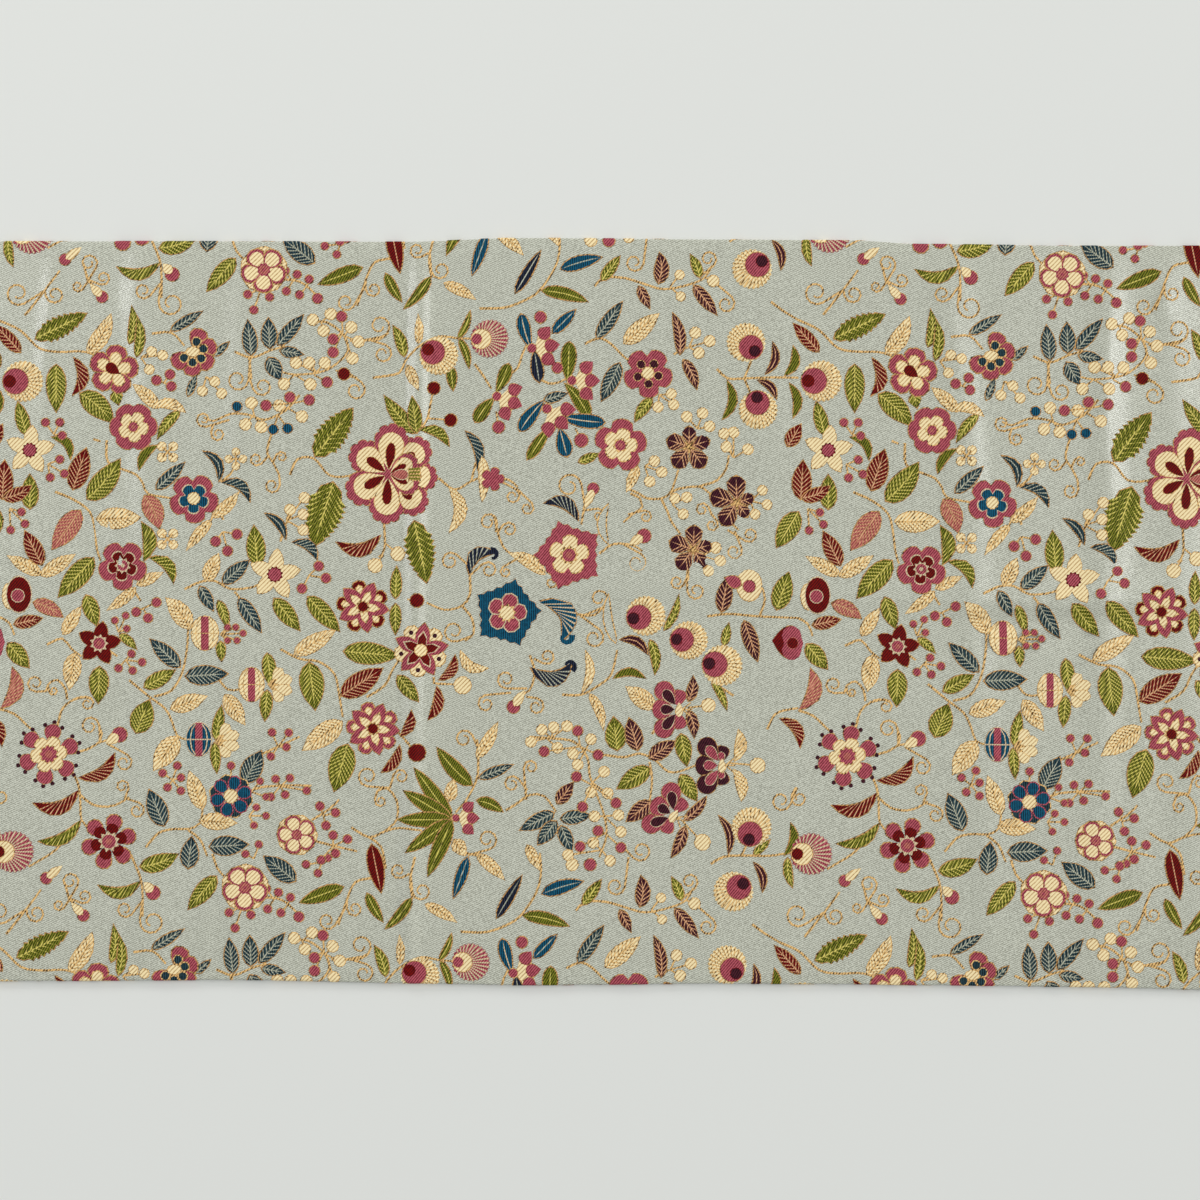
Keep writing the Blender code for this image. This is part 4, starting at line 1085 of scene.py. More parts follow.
BERRIES = (                     # thread, and for each twig: radius, root x and t, each berry's x and t
    ("rose", (
        (2.4, 68.5, 59.5, 65.5, 58.5, 71, 56, 71.5, 61), (2.1, 22.5, 81, 19, 76, 25, 76, 26, 81.5),
        (2, 142, 1, 135.5, 2, 140.5, 5.5, 144.5, -1), (2.1, 122, 17, 119, 12.5, 124, 14, 119.5, 21),
        (2.1, 128, 19, 129, 16, 125, 22.5), (2.5, 131, 23, 132.5, 24),
        (2.1, 109, 20, 103.5, 22.5, 106, 29, 112.5, 23.5), (2.1, 20, 93.5, 25, 91.5, 21, 99, 27, 97.5),
        (2, 4, 112, 9, 113.5, 10.5, 118.5, 4.5, 121), (2.5, 93, 122, 90, 126, 99, 123, 95, 130),
        (1.8, 49.5, 164, 48, 159, 52.5, 157, 53, 162.5), (2.3, 60, 154, 57, 155.5, 62, 158, 65.5, 151.5),
        (1.7, 92, 165, 95, 162, 98.5, 162, 101.5, 164.5, 95, 167.5, 99, 167.5),
        (2.4, 129, 140, 133, 136, 136, 141, 126, 145.5),
        (2, 52.5, 175.5, 55, 173, 59.5, 176.5, 55.5, 180, 49.5, 179),
        (2, 72, 226, 68, 223, 74, 220, 70, 229, 75.5, 225, 75.5, 230.5), (2, 96.5, 224, 96.5, 220),
        (2, 116, 212, 113.5, 206, 120.5, 206, 119.5, 212, 113, 216),
        (2, 117, 228.5, 115, 225.5, 121, 225, 128, 230, 119, 232, 113, 233),
        (1.8, 105, 231, 108.5, 226.5, 111, 233), (1.8, 104, 241, 107, 237.5, 111, 241, 106, 245),
        (1.9, 106, 259, 108, 253, 102.5, 257), (2.2, 135, 240.5, 133.5, 236.5, 140, 239, 136, 244.5),
        (2.2, 139, 253, 139, 248.5, 145, 250, 140, 256, 134, 259), (2.6, 232.5, 54, 232.5, 54),
        (3.2, 240, 79, 242.5, 84), (2.9, 207, 72, 208, 78.5), (2.9, 254, 1, 254, 1),
        (2.8, 225.5, 36, 225.5, 33),
    )),
    ("red", (
        (3, 180, 66, 181, 61.5), (3, 178.5, 74, 188, 75), (3.2, 170, 149.5, 174, 150),
        (4, 169, 208.5, 174, 213.5),
    )),
    ("cream", (
        (2.8, 246.5, 1, 246.5, 1), (2.3, 59, 49, 63.5, 46.5, 68, 48, 62.5, 54),
        (2.4, 86, 57, 84.5, 63, 89.5, 59, 92.5, 64), (2.2, 279.5, 20, 283.5, 15, 284, 24),
        (2.7, 294, 16, 297.5, 17.5), (2.6, 287.5, 45, 290, 39, 296, 42.5, 291.5, 47.5),
        (2.4, 275, 65, 280, 64.5, 281, 69, 274.5, 70), (2.5, 291, 79, 286.5, 74, 293, 72.5, 296, 78),
        (2.5, 269, 94.5, 273, 92.5, 276, 97, 271, 101),
        (2.5, 306, 91, 303, 86.5, 312, 87.5, 306, 80.5, 302, 81),
        (2.4, 280.5, 110.5, 281.5, 108, 286.5, 107.5, 285, 114.5),
        (2.3, 313, 109, 318, 104.5, 320, 110.5, 315, 114.5),
        (2.6, 293, 132, 298.5, 128.5, 300.5, 134, 295.5, 138),
        (2.5, 119.5, 117, 127, 107.5, 121, 112.5, 126.5, 114.5, 126.5, 121), (3.2, 160.5, 126, 166, 130.5),
        (3.2, 160, 131, 156.5, 135.5), (3.9, 188, 185, 193, 185.5), (3.1, 287, 195, 295.5, 194),
        (3.4, 304, 218, 316, 219), (3.6, 285, 242.5, 293, 251),
        (2.7, 134, 34, 138, 30.5, 130.5, 33, 135, 37.5), (2.7, 143.5, 39.5, 146.5, 36, 149.5, 42, 147, 49),
        (2.7, 132, 55, 135.5, 51, 129, 51, 123.5, 51), (2.7, 123, 56, 118.5, 60, 129.5, 60),
        (2.7, 120, 70, 116.5, 69, 126, 73.5), (2.7, 106, 73, 105, 68, 102.5, 77, 109, 78),
    )),
    ("rose", (
        (2.6, 143, 38, 142.5, 31.5, 139, 41, 139, 46.5), (2.6, 131, 56, 136.5, 59),
        (2.6, 122, 68, 121, 65.5, 129, 66.5, 111, 69),
    )),
    ("red", (
        (2.9, 140, 54, 143.5, 55.5),
    )),
    ("blue", (
        (2.4, 116, 73, 114, 79, 120, 78.5), (2.4, 99, 73, 99, 69.5),
    )),
    ("cream", (
        (2.5, 230, 207.5, 226, 204, 231, 203, 236.5, 202.5), (2.5, 228, 207.5, 221.5, 209, 232.5, 211.5),
        (2.5, 244, 213, 239, 214, 246.5, 208, 241, 218.5),
        (2.5, 247, 226, 252, 221.5, 246.5, 230, 253.5, 230.5),
        (2.5, 252, 240, 248, 240, 258, 239.5, 259, 246.5),
        (2.5, 251, 254, 247.5, 251, 237, 256, 254.5, 258.5),
    )),
    ("rose", (
        (2.5, 242, 211, 241, 204.5, 249.5, 214.5, 227, 213),
        (2.5, 247, 227, 240.5, 223.5, 243, 236, 257, 234.5),
        (2.5, 252.5, 247, 249.5, 246, 242, 252.5, 259, 253),
    )),
)


def draw_chart():
    """Draws the whole repeat: stems first, then leaves, then what lies on them."""
    for places in STEMS:
        stem(*places)
    for row in TENDRILS:
        tendril(*row)
    for (thread, vein, style), rows in LEAVES.items():
        for base_x, base_t, tip_x, tip_t, width, bend in rows:
            leaf(complex(base_x, base_t), complex(tip_x, tip_t), width, bend, thread, vein, style)
    for row in HOOKS:
        hook(*row)
    palm(188.5, 241.5, 173, 220, 168.5, 229.5, 166, 241.5, 169.5, 255, 178.5, 265)
    for thread, rows in BERRIES:
        for row in rows:
            berries(thread, *row)
    for row in BUDS:
        bud(*row)
    for row in LILIES:
        lily(*row)
    leaf(201 + 91j, 201 + 109j, 4, -1, "cream", "gold", "smooth")
    paint("rim", lobed(205.5 + 100j, 5, 3.2, 5.2, 0))
    paint("rose", lobed(205.5 + 100j, 5, 3.0, 4.8, 0))
    for row in FANS:
        fan_flower(*row)
    plum_cluster(287.5, 86.5, -18, 8.6, 10.2, 10.2, 9.5, 8.2)
    plum_cluster(307.4, 109.8, -92, 11.0, 7.2, 7.0, 10.8, 11.4)
    plum_cluster(289.2, 129.3, -88, 9.8, 7.6, 8.6, 10.0, 10.2)
    for x, t, size, kind, turn in BLOOMS:
        bloom(x, t, size, kind, turn)
    great_flower(162, 97.2)
    pansy(283.3, 195.7, "rose", "plum", 0)
    pansy(281.2, 239.9, "rose", "plum", 32)
    pansy(301.2, 219, "plum", "rose", 0)
    striped_ball(85.5, 164.5, 6, 7.5, "cream", "rose")
    striped_ball(105, 186, 5.5, 7.5, "cream", "rose")
    striped_ball(83, 209, 5.6, 7.5, "blue", "rose")
    disc("cream", 4.1 + 148.6j, 3.4, "gold", 0.35, 12, 1.7)
    striped_ball(8, 148, 5.5, 8, "red", None)
    disc("rose", 7.5 + 148.5j, 3.0, "pale", 0.35)
    striped_ball(312.5, 144, 5.5, 7, "cream", None)
    disc("rose", 312.5 + 144.5j, 2.9, "rim", 0.3)
    leaf(309 + 144j, 302.5 + 141j, 5, 0, "rose", "rim", "dark")
    for rim in ("rim", None):
        drop("red", 322 + 167j, 334 + 164.8j, 9.5, rim)
        drop("red", 322 + 167j, 334 + 171.2j, 9.5, rim)
    for lobe in (330.2 + 164.9j, 330.2 + 171j, 331 + 168j):
        disc("rose", lobe, 4.1)
    disc("red", 330.6 + 168j, 2.6, "salmon", 0.3)
    for x, t, size, turn in ((70, 88.5, 5, 45), (98.5, 91.5, 4.5, 0), (70, 125, 5, 45)):
        trefoil(x, t, size, turn)
    petal_fan(111.5, 186, 10.5)
    petal_fan(89.5, 209.5, 10.5)


# ---- From chart to threads ----------------------------------------------------------------------------
TILE, ROW, ROW_SHIFT = 333.0, 259.0, -7.8
TILE_START = -173.1             # where the tile that the photo shows whole begins
CROWN, SKIRT = 0.22, 0.08       # height of the threads over the ground, inside a motif and at its edge
CELL = 6.0                      # side of the cells that places are sorted into
LOW_T, HIGH_T = -RING_PATH[LIP] + EDGE_ROLL, WIDTH + RING_PATH[LIP] - EDGE_ROLL
FINE_TILES = (0, 1)             # the repeats that the photo shows
LONGEST = 1.35                  # a thread's edge may be this many steps of the cloth long


def repeat_patches():
    """Every patch that shows in one tile column, with its copies from the tiles around it."""
    shown = []
    for order, (thread, points) in enumerate(patches):
        points = np.array(points)
        for row in (-1, 0, 1):
            for column in (-1, 0, 1):
                moved = points + complex(TILE * column + ROW_SHIFT * row, ROW * row)
                if (moved.real.max() > -1 and moved.real.min() < TILE + 1
                        and moved.imag.max() > LOW_T and moved.imag.min() < HIGH_T):
                    shown.append((order, row, column, thread, moved))
    shown.sort(key=lambda entry: entry[:3])
    return [(thread, points) for order, row, column, thread, points in shown]


def inside(points, x, t):
    """Which of the places are inside a closed outline."""
    found = np.zeros(len(x), bool)
    for one, two in zip(points, np.roll(points, -1)):
        if one.imag == two.imag:
            continue
        across = (one.imag > t) != (two.imag > t)
        found ^= across & (x < one.real + (two.real - one.real) * (t - one.imag) / (two.imag - one.imag))
    return found


def topmost(shown, x, t):
    """For each place the index of the last patch that covers it, or -1."""
    cell_x, cell_t = (x // CELL).astype(int), (t // CELL).astype(int)
    low_x, low_t = cell_x.min(), cell_t.min()
    wide = cell_x.max() - low_x + 1
    key = (cell_t - low_t) * wide + cell_x - low_x
    order = np.argsort(key, kind="stable")
    starts = np.searchsorted(key[order], np.arange(wide * (cell_t.max() - low_t + 1) + 1))
    top = np.full(len(x), -1)
    for index, (thread, points) in enumerate(shown):
        first = max(int(points.real.min() // CELL) - low_x, 0)
        last = min(int(points.real.max() // CELL) - low_x, wide - 1)
        near = []
        for line in range(int(points.imag.min() // CELL) - low_t, int(points.imag.max() // CELL) - low_t + 1):
            one, two = line * wide + first, line * wide + last + 1
            if 0 <= one < two < len(starts):
                near.append(order[starts[one]:starts[two]])
        if near:
            near = np.concatenate(near)
            top[near[inside(points, x[near], t[near])]] = index
    return top


def triangulated(segments):
    """Triangles between line segments, each a pair of complex points, as places and corners."""
    ends = np.array(segments).ravel()
    spots, back = np.unique(np.round(ends, 4), return_inverse=True)
    lines = back.reshape(-1, 2)
    lines = lines[lines[:, 0] != lines[:, 1]]
    spots = [Vector((p.real, p.imag)) for p in spots]
    found = geometry.delaunay_2d_cdt(spots, lines.tolist(), [], 0, 1e-4, False)
    return np.array([tuple(place) for place in found[0]]), np.array(found[2])


def seen_borders(places, corners, names):
    """The line segments between triangles of different threads, with straight runs joined."""
    ahead = np.roll(corners, -1, axis=1)
    keys = (np.minimum(corners, ahead) * len(places) + np.maximum(corners, ahead)).ravel()
    kinds = np.repeat(names, 3)
    order = np.argsort(keys, kind="stable")
    keys, kinds = keys[order], kinds[order]
    twin = keys[:-1] == keys[1:]
    border = keys[:-1][twin & (kinds[:-1] != kinds[1:])]
    ways = {}
    for one, two in zip((border // len(places)).tolist(), (border % len(places)).tolist()):
        ways.setdefault(one, set()).add(two)
        ways.setdefault(two, set()).add(one)
    spots = places[:, 0] + 1j * places[:, 1]
    for middle in list(ways):
        if len(ways[middle]) != 2:
            continue
        one, two = ways[middle]
        span = spots[two] - spots[one]
        off = abs(((spots[middle] - spots[one]) * span.conjugate()).imag) / max(abs(span), 1e-9)
        if off < detail["straight"] and two not in ways[one]:
            ways[one].remove(middle)
            ways[two].remove(middle)
            ways[one].add(two)
            ways[two].add(one)
            ways[middle] = set()
    return [(spots[one], spots[two]) for one, others in ways.items() for two in others if one < two]


def woven_tile():
    """The repeat as triangles: points (x, t, lift), corners, and each triangle's thread."""
    shown = repeat_patches()
    threads = np.array([thread for thread, points in shown] + ["ground"])
    outlines = [pair for thread, points in shown for pair in zip(points, np.roll(points, -1))]
    places, corners = triangulated(outlines)
    middles = places[corners].mean(axis=1)
    names = threads[topmost(shown, middles[:, 0], middles[:, 1])]
    borders = seen_borders(places, corners, names)
    spines = np.array([(points[1], points[2]) for thread, points in shown
                       if thread == "gold" and len(points) == 4 and detail["cord"]])
    if len(spines):
        middle = spines.mean(axis=1)
        off = (spines[:, 1] - spines[:, 0]) / np.abs(spines[:, 1] - spines[:, 0]) * 0.05j
        clear = [threads[topmost(shown, spot.real, spot.imag)] == "gold"
                 for spot in (middle + off, middle - off)]
        borders += list(spines[clear[0] & clear[1]])
    places, corners = triangulated(borders)
    middles = places[corners].mean(axis=1)
    names = threads[topmost(shown, middles[:, 0], middles[:, 1])]
    bare = names == "ground"
    lift = np.full(len(places), CROWN)
    lift[corners[bare].ravel()] = SKIRT
    tile = np.column_stack([places, lift]), corners[~bare], names[~bare]
    for axis, low, high in ((0, 0.0, TILE), (1, LOW_T, HIGH_T)):
        tile = kept(cut(cut(tile, axis, low), axis, high), axis, low, high)
    for path in RING_PATH[:LIP]:
        tile = cut(cut(tile, 1, EDGE_ROLL - path), 1, WIDTH - EDGE_ROLL + path)
    return tile


def split(tile, marked, shares):
    """Splits every triangle at its marked edges. marked and shares are given for each corner's edge."""
    points, corners, names = tile
    ahead = np.roll(corners, -1, axis=1)
    low, high = np.minimum(corners, ahead), np.maximum(corners, ahead)
    keys = (low * len(points) + high)[marked]
    used, first, back = np.unique(keys, return_index=True, return_inverse=True)
    start, end = points[low[marked][first]], points[high[marked][first]]
    share = shares[marked][first][:, None]
    middle = np.full(corners.shape, -1)
    middle[marked] = len(points) + back
    points = np.concatenate([points, start + (end - start) * share])
    count = marked.sum(axis=1)
    parts, kinds = [corners[count == 0]], [names[count == 0]]
    for number in (1, 2, 3):
        chosen = count == number
        c, m, hit = corners[chosen], middle[chosen], marked[chosen]
        if number == 1:
            turn = np.argmax(hit, axis=1)
        else:
            turn = (np.argmin(hit, axis=1) + 1) % 3 if number == 2 else np.zeros(len(c), int)
        pick = (turn[:, None] + np.arange(3)) % 3
        a, b, d = np.take_along_axis(c, pick, axis=1).T
        ab, bd, da = np.take_along_axis(m, pick, axis=1).T
        if number == 1:
            pieces = ((a, ab, d), (ab, b, d))
        elif number == 2:
            pieces = ((ab, b, bd), (a, ab, bd), (a, bd, d))
        else:
            pieces = ((a, ab, da), (ab, b, bd), (da, bd, d), (ab, bd, da))
        for piece in pieces:
            parts.append(np.stack(piece, axis=1))
            kinds.append(names[chosen])
    return points, np.concatenate(parts), np.concatenate(kinds)


def cut(tile, axis, value):
    """Cuts all triangles along a line across one axis."""
    points, corners, names = tile
    ahead = np.roll(corners, -1, axis=1)
    low, high = np.minimum(corners, ahead), np.maximum(corners, ahead)
    start, end = points[low][..., axis] - value, points[high][..., axis] - value
    marked = (start * end < 0) & (np.minimum(np.abs(start), np.abs(end)) > 1e-3)
    shares = np.divide(start, start - end, out=np.zeros(start.shape), where=marked)
    return split(tile, marked, shares) if marked.any() else tile


def kept(tile, axis, low, high):
    """Only the triangles whose middles lie between two values."""
    points, corners, names = tile
    middle = points[corners][..., axis].mean(axis=1)
    stays = (middle > low) & (middle < high)
    return points, corners[stays], names[stays]


def fitted(tile, start):
    """Splits long edges where the cloth curves, for a tile whose first column is at start."""
    for turn in range(5):
        points, corners, names = tile
        ahead = np.roll(corners, -1, axis=1)
        a, b = points[corners], points[ahead]
        middle = (a + b) / 2
        wide = np.abs(a[..., 0] - b[..., 0]) > LONGEST * step_x(middle[..., 0] + start)
        tall = np.abs(a[..., 1] - b[..., 1]) > LONGEST * step_y(WIDTH / 2 - middle[..., 1])
        marked = wide | tall
        if not marked.any():
            break
        tile = split(tile, marked, np.full(marked.shape, 0.5))
    return tile


def laid_on(points, start):
    """Places of chart points on the cloth, in millimetres, lifted off it."""
    x, t, lift = points[:, 0] + start, points[:, 1], points[:, 2]
    side = np.where(t < WIDTH / 2, 1, -1)
    path_y = EDGE_ROLL - np.minimum(t, WIDTH - t)
    path_x = np.abs(x) - (HALF - EDGE_ROLL)
    rim_x = np.clip(x, -HALF + EDGE_ROLL, HALF - EDGE_ROLL)
    far, near = edge_y(rim_x, 1) - EDGE_ROLL, edge_y(rim_x, 2) + EDGE_ROLL
    rim_t = np.clip(t, EDGE_ROLL, WIDTH - EDGE_ROLL)
    rim_y = far + (near - far) * (rim_t - EDGE_ROLL) / (WIDTH - 2 * EDGE_ROLL)
    places = np.stack([rim_x, rim_y, top_z(rim_x, rim_y)], axis=-1)
    normals = top_normal(rim_x, rim_y)
    for path, out_x, out_y in ((path_y, np.zeros(len(x)), side), (path_x, np.sign(x), np.zeros(len(x)))):
        for ring in range(LIP):
            share = (path - RING_PATH[ring]) / (RING_PATH[ring + 1] - RING_PATH[ring])
            on = (share > 0) & (share <= 1) | (share > 1) & (ring == LIP - 1)
            if not on.any():
                continue
            share = np.minimum(share[on], 1)[:, None]
            spot = rim_x[on], rim_y[on], out_x[on], out_y[on]
            one, two = ring_place(ring, *spot), ring_place(ring + 1, *spot)
            places[on] = one + (two - one) * share
            one, two = ring_normal(ring, *spot[2:]), ring_normal(ring + 1, *spot[2:])
            if ring == 0:
                one = normals[on]
            normal = one + (two - one) * share
            normals[on] = normal / np.linalg.norm(normal, axis=-1, keepdims=True)
    return places + normals * lift[:, None], (path_x > 0) & (path_y > 0)


def weave():
    """Weaves the chart over the whole cloth: for each thread its points and triangles."""
    first = math.floor((-HALF - 10 - TILE_START) / TILE)
    last = math.floor((HALF + 10 - TILE_START) / TILE)
    end = HALF - EDGE_ROLL
    cloth = {}
    tiles = {}
    for fine in (False, True):
        patches.clear()
        detail.update(FINE if fine else PLAIN)
        draw_chart()
        tiles[fine] = woven_tile()
    for number in range(first, last + 1):
        start = TILE_START + TILE * number
        tile = tiles[number in FINE_TILES]
        if start < -end or start + TILE > end:
            for path in RING_PATH:
                tile = cut(cut(tile, 0, -end - path - start), 0, end + path - start)
            tile = kept(tile, 0, -end - RING_PATH[LIP] - start, end + RING_PATH[LIP] - start)
        tile = fitted(tile, start)
        points, corners, names = tile
        places, in_corner = laid_on(points, start)
        stays = ~in_corner[corners].any(axis=1)
        corners, names = corners[stays], names[stays]
        for thread in sorted(set(names)):
            used, flat = np.unique(corners[names == thread], return_inverse=True)
            parts = cloth.setdefault(thread, [[], [], 0])
            parts[0].append(places[used])
            parts[1].append(flat.reshape(-1, 3) + parts[2])
            parts[2] += len(used)
    return {thread: (np.concatenate(parts[0]), np.concatenate(parts[1])) for thread, parts in cloth.items()}


# ---- The rest of the pieces ---------------------------------------------------------------------------
SEAM_GAP = 0.3                  # between the hem and the back cloth
BACK_TOP = 1.0                  # height of the back cloth's upper side
BACK_UNDER = 0.1                # and of its lower side
BACK_ROLL = 0.4                 # radius of its edge
BACK_STEP = 14.0                # between the back cloth's rows of points
STITCH_PITCH = 11.0
STITCH_RADIUS = 0.16
STITCH_HEIGHT = 0.2
STITCH_SINK = 0.16              # how far a stitch's ends rise into the cloth
STITCHES_START = 4.0            # from a corner to the first stitch
END_SEAM = 146.0                # half the seam at an end


def back_cloth_sheet():
    """The plain back cloth: a flat closed layer with rolled edges, inside the front cloth's hem."""
    inset = HEM + SEAM_GAP
    columns = marched(-HALF + inset, HALF - inset, lambda x: BACK_STEP)
    turns = [math.radians(angle) for angle in (90, 45, 0)]
    upper = [(BACK_ROLL * (1 - math.cos(a)), BACK_TOP - BACK_ROLL + BACK_ROLL * math.sin(a)) for a in turns]
    side = upper + [(inward, BACK_TOP + BACK_UNDER - z) for inward, z in upper[::-1]]
    rings = []
    for x in columns:
        far, near = float(edge_y(x, 1)) - inset, float(edge_y(x, 2)) + inset
        middle = (far + near) / 2
        ring = [(x, middle, BACK_TOP)] + [(x, far - inward, z) for inward, z in side]
        ring += [(x, middle, BACK_UNDER)] + [(x, near + inward, z) for inward, z in side[::-1]]
        rings.append(ring)
    size = len(rings[0])
    points = [point for ring in rings for point in ring]
    faces = []
    for k in range(len(rings) - 1):
        for j in range(size):
            a, b = k * size + j, k * size + (j + 1) % size
            faces.append((a, b, b + size, a + size))
    ends = [list(range(size))[::-1], [len(points) - size + j for j in range(size)]]
    return points, faces, ends


def stitch_places():
    """Middle and direction of every slip stitch along the seam on the underside."""
    seam = HEM + SEAM_GAP / 2
    spots = []
    for x in np.arange(-HALF + seam + STITCHES_START, HALF - seam - STITCHES_START, STITCH_PITCH):
        for side in (1, 2):
            y = float(edge_y(x, side)) + (-seam if side == 1 else seam)
            spots.append((x, y, 0.0, 1.0))
    for end in (-1, 1):
        for y in np.arange(-END_SEAM + STITCHES_START, END_SEAM - STITCHES_START, STITCH_PITCH):
            spots.append((end * (HALF - seam), y, 1.0, 0.0))
    return spots


def stitches():
    """Short slanting silk stitches over the seam, slightly uneven."""
    draw = random.Random(5)
    points, faces = [], []
    for x, y, across_x, across_y in stitch_places():
        lean = draw.uniform(0.5, 1.3)
        long = draw.uniform(0.9, 1.25)
        way = np.array([across_x * long + across_y * lean, across_y * long - across_x * lean, 0.0])
        side = np.array([-way[1], way[0], 0.0]) / np.linalg.norm(way)
        start = len(points)
        for share in (-1.0, 0.0, 1.0):
            sunk = STITCH_SINK * share * share
            middle = np.array([x, y, STITCH_HEIGHT + sunk]) + way * share
            round_by = STITCH_RADIUS * (1 - 0.35 * share * share)
            for angle in (45, 135, 225, 315):
                a = math.radians(angle)
                up = np.array([0, 0, round_by * math.sin(a)])
                points.append(middle + side * round_by * math.cos(a) + up)
        for k in range(2):
            for j in range(4):
                a, b = start + 4 * k + j, start + 4 * k + (j + 1) % 4
                faces.append((a, b, b + 4, a + 4))
        faces += [(start + 3, start + 2, start + 1, start), (start + 8, start + 9, start + 10, start + 11)]
    return points, faces


# ---- Materials ----------------------------------------------------------------------------------------
def linear(*colour):
    """A screen colour from 0 to 255 as the linear colour that shaders take."""
    shares = [c / 255 for c in colour]
    return tuple(c / 12.92 if 255 * c <= 10 else ((c + 0.055) / 1.055) ** 2.4 for c in shares) + (1,)


def added(tree, kind, values, sources):
    """A new node with some inputs set and others linked to sockets."""
    node = tree.nodes.new(kind)
    for name, value in values.items():
        node.inputs[name].default_value = value
    for name, socket in sources.items():
        tree.links.new(socket, node.inputs[name])
    return node


def bands(tree, place, degrees, pitch, distortion):
    """A wave texture whose lines run at some angle to the sash, one line each pitch millimetres."""
    turn = added(tree, "ShaderNodeMapping", {"Rotation": (0, 0, math.radians(90 - degrees))},
                 {"Vector": place.outputs["Object"]})
    scale = math.pi / 10 / (pitch * MM)
    wave = added(tree, "ShaderNodeTexWave",
                 {"Scale": scale, "Distortion": distortion, "Detail": 1.0, "Detail Scale": 1.5},
                 {"Vector": turn.outputs["Vector"]})
    wave.wave_type = "BANDS"
    wave.bands_direction = "X"
    wave.wave_profile = "SIN"
    return wave


def woven(name, dark, light, degrees, pitch, roughness=0.5, height=0.06, fleck=0.58, span=(0.32, 0.68),
          gloss=0.12, grain=1000):
    """Silk whose floats run in bands at an angle: dark between them and light on them, partly painted shade
    and sheen, with flecks.
    """
    material = bpy.data.materials.new(name)
    material.use_nodes = True
    tree = material.node_tree
    shader = tree.nodes["Principled BSDF"]
    place = tree.nodes.new("ShaderNodeTexCoord")
    wave = bands(tree, place, degrees, pitch, 0.6)
    cross = bands(tree, place, degrees + 90, pitch * 0.42, 0.3)
    noise = added(tree, "ShaderNodeTexNoise", {"Scale": grain, "Detail": 2},
                  {"Vector": place.outputs["Object"]})
    mix = added(tree, "ShaderNodeMix", {"Factor": fleck},
                {"A": wave.outputs["Fac"], "B": noise.outputs["Fac"]})
    # The ramp's dark colour is partly the weave's own and partly painted shade between the floats; its light
    # one is partly painted sheen on them.
    ramp = added(tree, "ShaderNodeValToRGB", {}, {"Fac": mix.outputs["Result"]})
    for stop, position, colour in zip(ramp.color_ramp.elements, span, (dark, light)):
        stop.position = position
        stop.color = linear(*colour)
    both = added(tree, "ShaderNodeMath", {}, {0: wave.outputs["Fac"], 1: cross.outputs["Fac"]})
    both.operation = "ADD"
    bump = added(tree, "ShaderNodeBump", {"Strength": 0.6, "Distance": height * MM},
                 {"Height": both.outputs["Value"]})
    tree.links.new(ramp.outputs["Color"], shader.inputs["Base Color"])
    tree.links.new(bump.outputs["Normal"], shader.inputs["Normal"])
    shader.inputs["Roughness"].default_value = roughness
    shader.inputs["Specular IOR Level"].default_value = gloss
    return material


# Each thread's dark and light colours hold painted shade between its floats and painted sheen on them,
# besides the weave's own streaks.
THREADS = {                     # dark, light, angle of the lines, pitch in mm, roughness
    "gold": ((78, 50, 14), (238, 194, 126), 60, 1.1, 0.45),
    "rim": ((66, 40, 12), (206, 158, 96), 40, 1.0, 0.45),
    "cream": ((178, 136, 80), (250, 230, 180), 45, 1.3, 0.42),
    "rose": ((110, 36, 46), (194, 94, 106), 50, 0.9, 0.5),
    "red": ((54, 0, 0), (126, 4, 0), 50, 0.9, 0.55),
    "salmon": ((132, 62, 58), (206, 122, 108), 50, 0.9, 0.5),
    "green": ((38, 39, 0), (130, 132, 36), 60, 0.9, 0.55),
    "olive": ((92, 90, 20), (146, 140, 50), 60, 0.9, 0.5),
    "vein": ((96, 94, 26), (222, 206, 108), 60, 1.0, 0.45),
    "vein_grey": ((116, 120, 104), (192, 192, 170), 60, 0.9, 0.45),
    "vein_tan": ((156, 104, 68), (230, 178, 136), 60, 0.9, 0.45),
    "pale": ((176, 152, 116), (228, 208, 172), 60, 0.9, 0.45),
    "blue": ((0, 34, 52), (14, 92, 120), 90, 0.9, 0.55),
    "navy": ((4, 18, 24), (46, 74, 82), 90, 0.9, 0.55),
    "ink": ((4, 6, 14), (34, 42, 64), 90, 0.9, 0.55),
    "plum": ((28, 0, 8), (80, 30, 42), 60, 0.9, 0.55),
}
FLECKS = {                      # share of flecks, not lines, and where the ramp's two colours start
    "gold": (0.76, (0.34, 0.56)), "rim": (0.76, (0.34, 0.56)),
    "cream": (0.35, (0.1, 0.5)), "vein": (0.5, (0.2, 0.56)), "other": (0.58, (0.32, 0.68)),
}
# The same as in THREADS for the ground, the back cloth and the stitches.
GROUND = ((142, 142, 126), (220, 222, 205), 25, 0.8, 0.25)
BACK = ((196, 190, 172), (212, 207, 190), 90, 0.5, 0.5)
STITCH = ((190, 184, 164), (222, 216, 198), 45, 0.4, 0.5)

# ---- Making the scene ---------------------------------------------------------------------------------
patches_made = weave()
points, faces = front_ground()
ground_silk = woven("ground_silk", *GROUND, height=0.02, fleck=0.72, gloss=0.75, grain=1700)
front = make_piece("brocade_ground", points, faces.tolist(), ground_silk)
thickened(front, CLOTH)
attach(front, "root")
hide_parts("front_cloth")
for thread, (points, faces) in sorted(patches_made.items()):
    fleck, span = FLECKS.get(thread, FLECKS["other"])
    silk = woven(thread + "_silk", *THREADS[thread], fleck=fleck, span=span)
    piece = make_piece("brocade_" + thread, points, faces.tolist(), silk)
    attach(piece, "root")

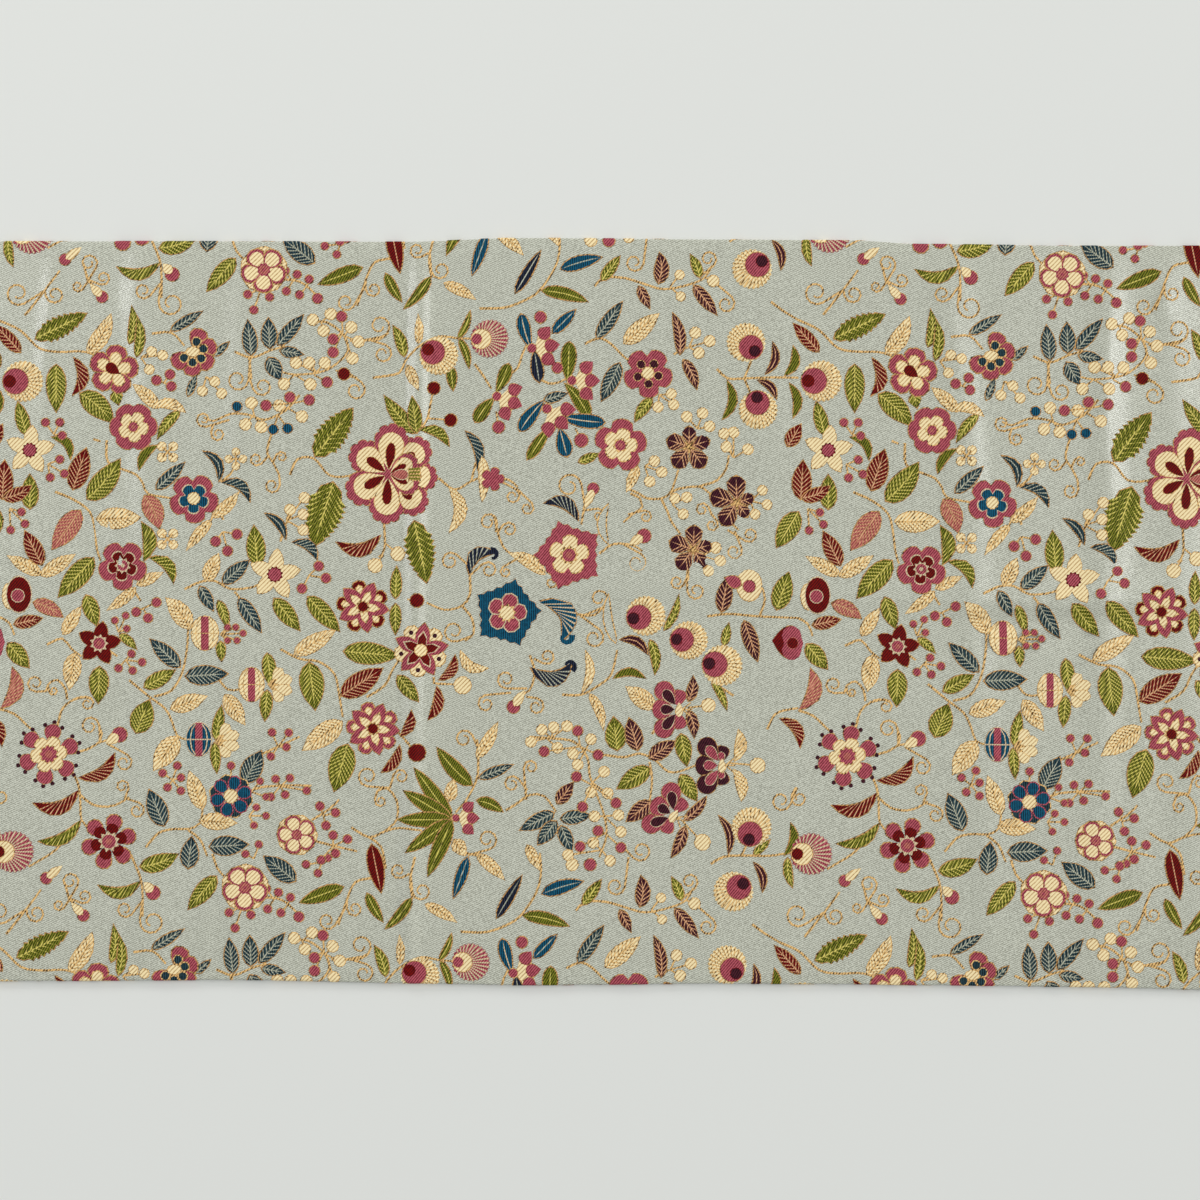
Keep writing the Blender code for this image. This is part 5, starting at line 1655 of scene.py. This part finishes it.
points, faces, ends = back_cloth_sheet()
back_piece = make_piece("back_cloth_silk", points, faces + ends, woven("back_silk", *BACK, height=0.03))
back_piece.data.set_sharp_from_angle(angle=math.radians(60))
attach(back_piece, "root")
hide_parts("back_cloth")
points, faces = stitches()
seam = make_piece("slip_stitches", points, faces, woven("stitch_silk", *STITCH))
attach(seam, "root")

# ---- Floor, light and camera --------------------------------------------------------------------------
# From here on sizes and places are in metres.
FLOOR_SIZE = 12.0
LIT_PLACE = (0.08, 0.0, 0.0)
VIEW_X, VIEW_Y = 0.0772, 0.0050
CAMERA_HEIGHT = 0.9
CLOTH_TOP = 0.003               # where the photo's scale is taken
VIEW_WIDTH = 0.5006             # what the photo shows at that height
SENSOR = 36
floor_mesh = bpy.data.meshes.new("floor")
corners = [(x * FLOOR_SIZE / 2, y * FLOOR_SIZE / 2, 0) for x, y in ((-1, -1), (1, -1), (1, 1), (-1, 1))]
floor_mesh.from_pydata(corners, [], [(0, 1, 2, 3)])
floor = bpy.data.objects.new("floor", floor_mesh)
bpy.context.scene.collection.objects.link(floor)
floor_material = bpy.data.materials.new("floor")
floor_material.use_nodes = True
floor_shader = floor_material.node_tree.nodes["Principled BSDF"]
floor_shader.inputs["Base Color"].default_value = linear(226, 227, 222)
floor_shader.inputs["Roughness"].default_value = 0.8
floor_mesh.materials.append(floor_material)

scene = bpy.context.scene
world = bpy.data.worlds.new("studio")
world.use_nodes = True
sky = world.node_tree.nodes["Background"]
sky.inputs["Color"].default_value = (0.95, 0.98, 1.0, 1)
sky.inputs["Strength"].default_value = 0.412
scene.world = world


def area_light(name, place, size, power):
    """A soft square light that looks at the stretch in the photo."""
    lamp = bpy.data.lights.new(name, "AREA")
    lamp.size = size
    lamp.energy = power
    thing = bpy.data.objects.new(name, lamp)
    thing.location = place
    thing.rotation_euler = (Vector(LIT_PLACE) - Vector(place)).to_track_quat("-Z", "Y").to_euler()
    scene.collection.objects.link(thing)


area_light("window", (-1.5, 2.0, 1.3), 0.8, 23.5)
area_light("raking", (7.5, 1.2, 2.1), 1.0, 280)
area_light("ceiling", (2.9, 0.8, 3.8), 0.9, 44)
area_light("left", (-2.7, 0.6, 3.6), 0.9, 35)

camera = bpy.data.cameras.new("camera")
camera.sensor_width = SENSOR
camera.lens = (CAMERA_HEIGHT - CLOTH_TOP) * SENSOR / VIEW_WIDTH
camera.clip_start = 0.05
eye = bpy.data.objects.new("camera", camera)
eye.location = (VIEW_X, VIEW_Y, CAMERA_HEIGHT)
scene.collection.objects.link(eye)
scene.camera = eye
scene.view_settings.view_transform = "Standard"
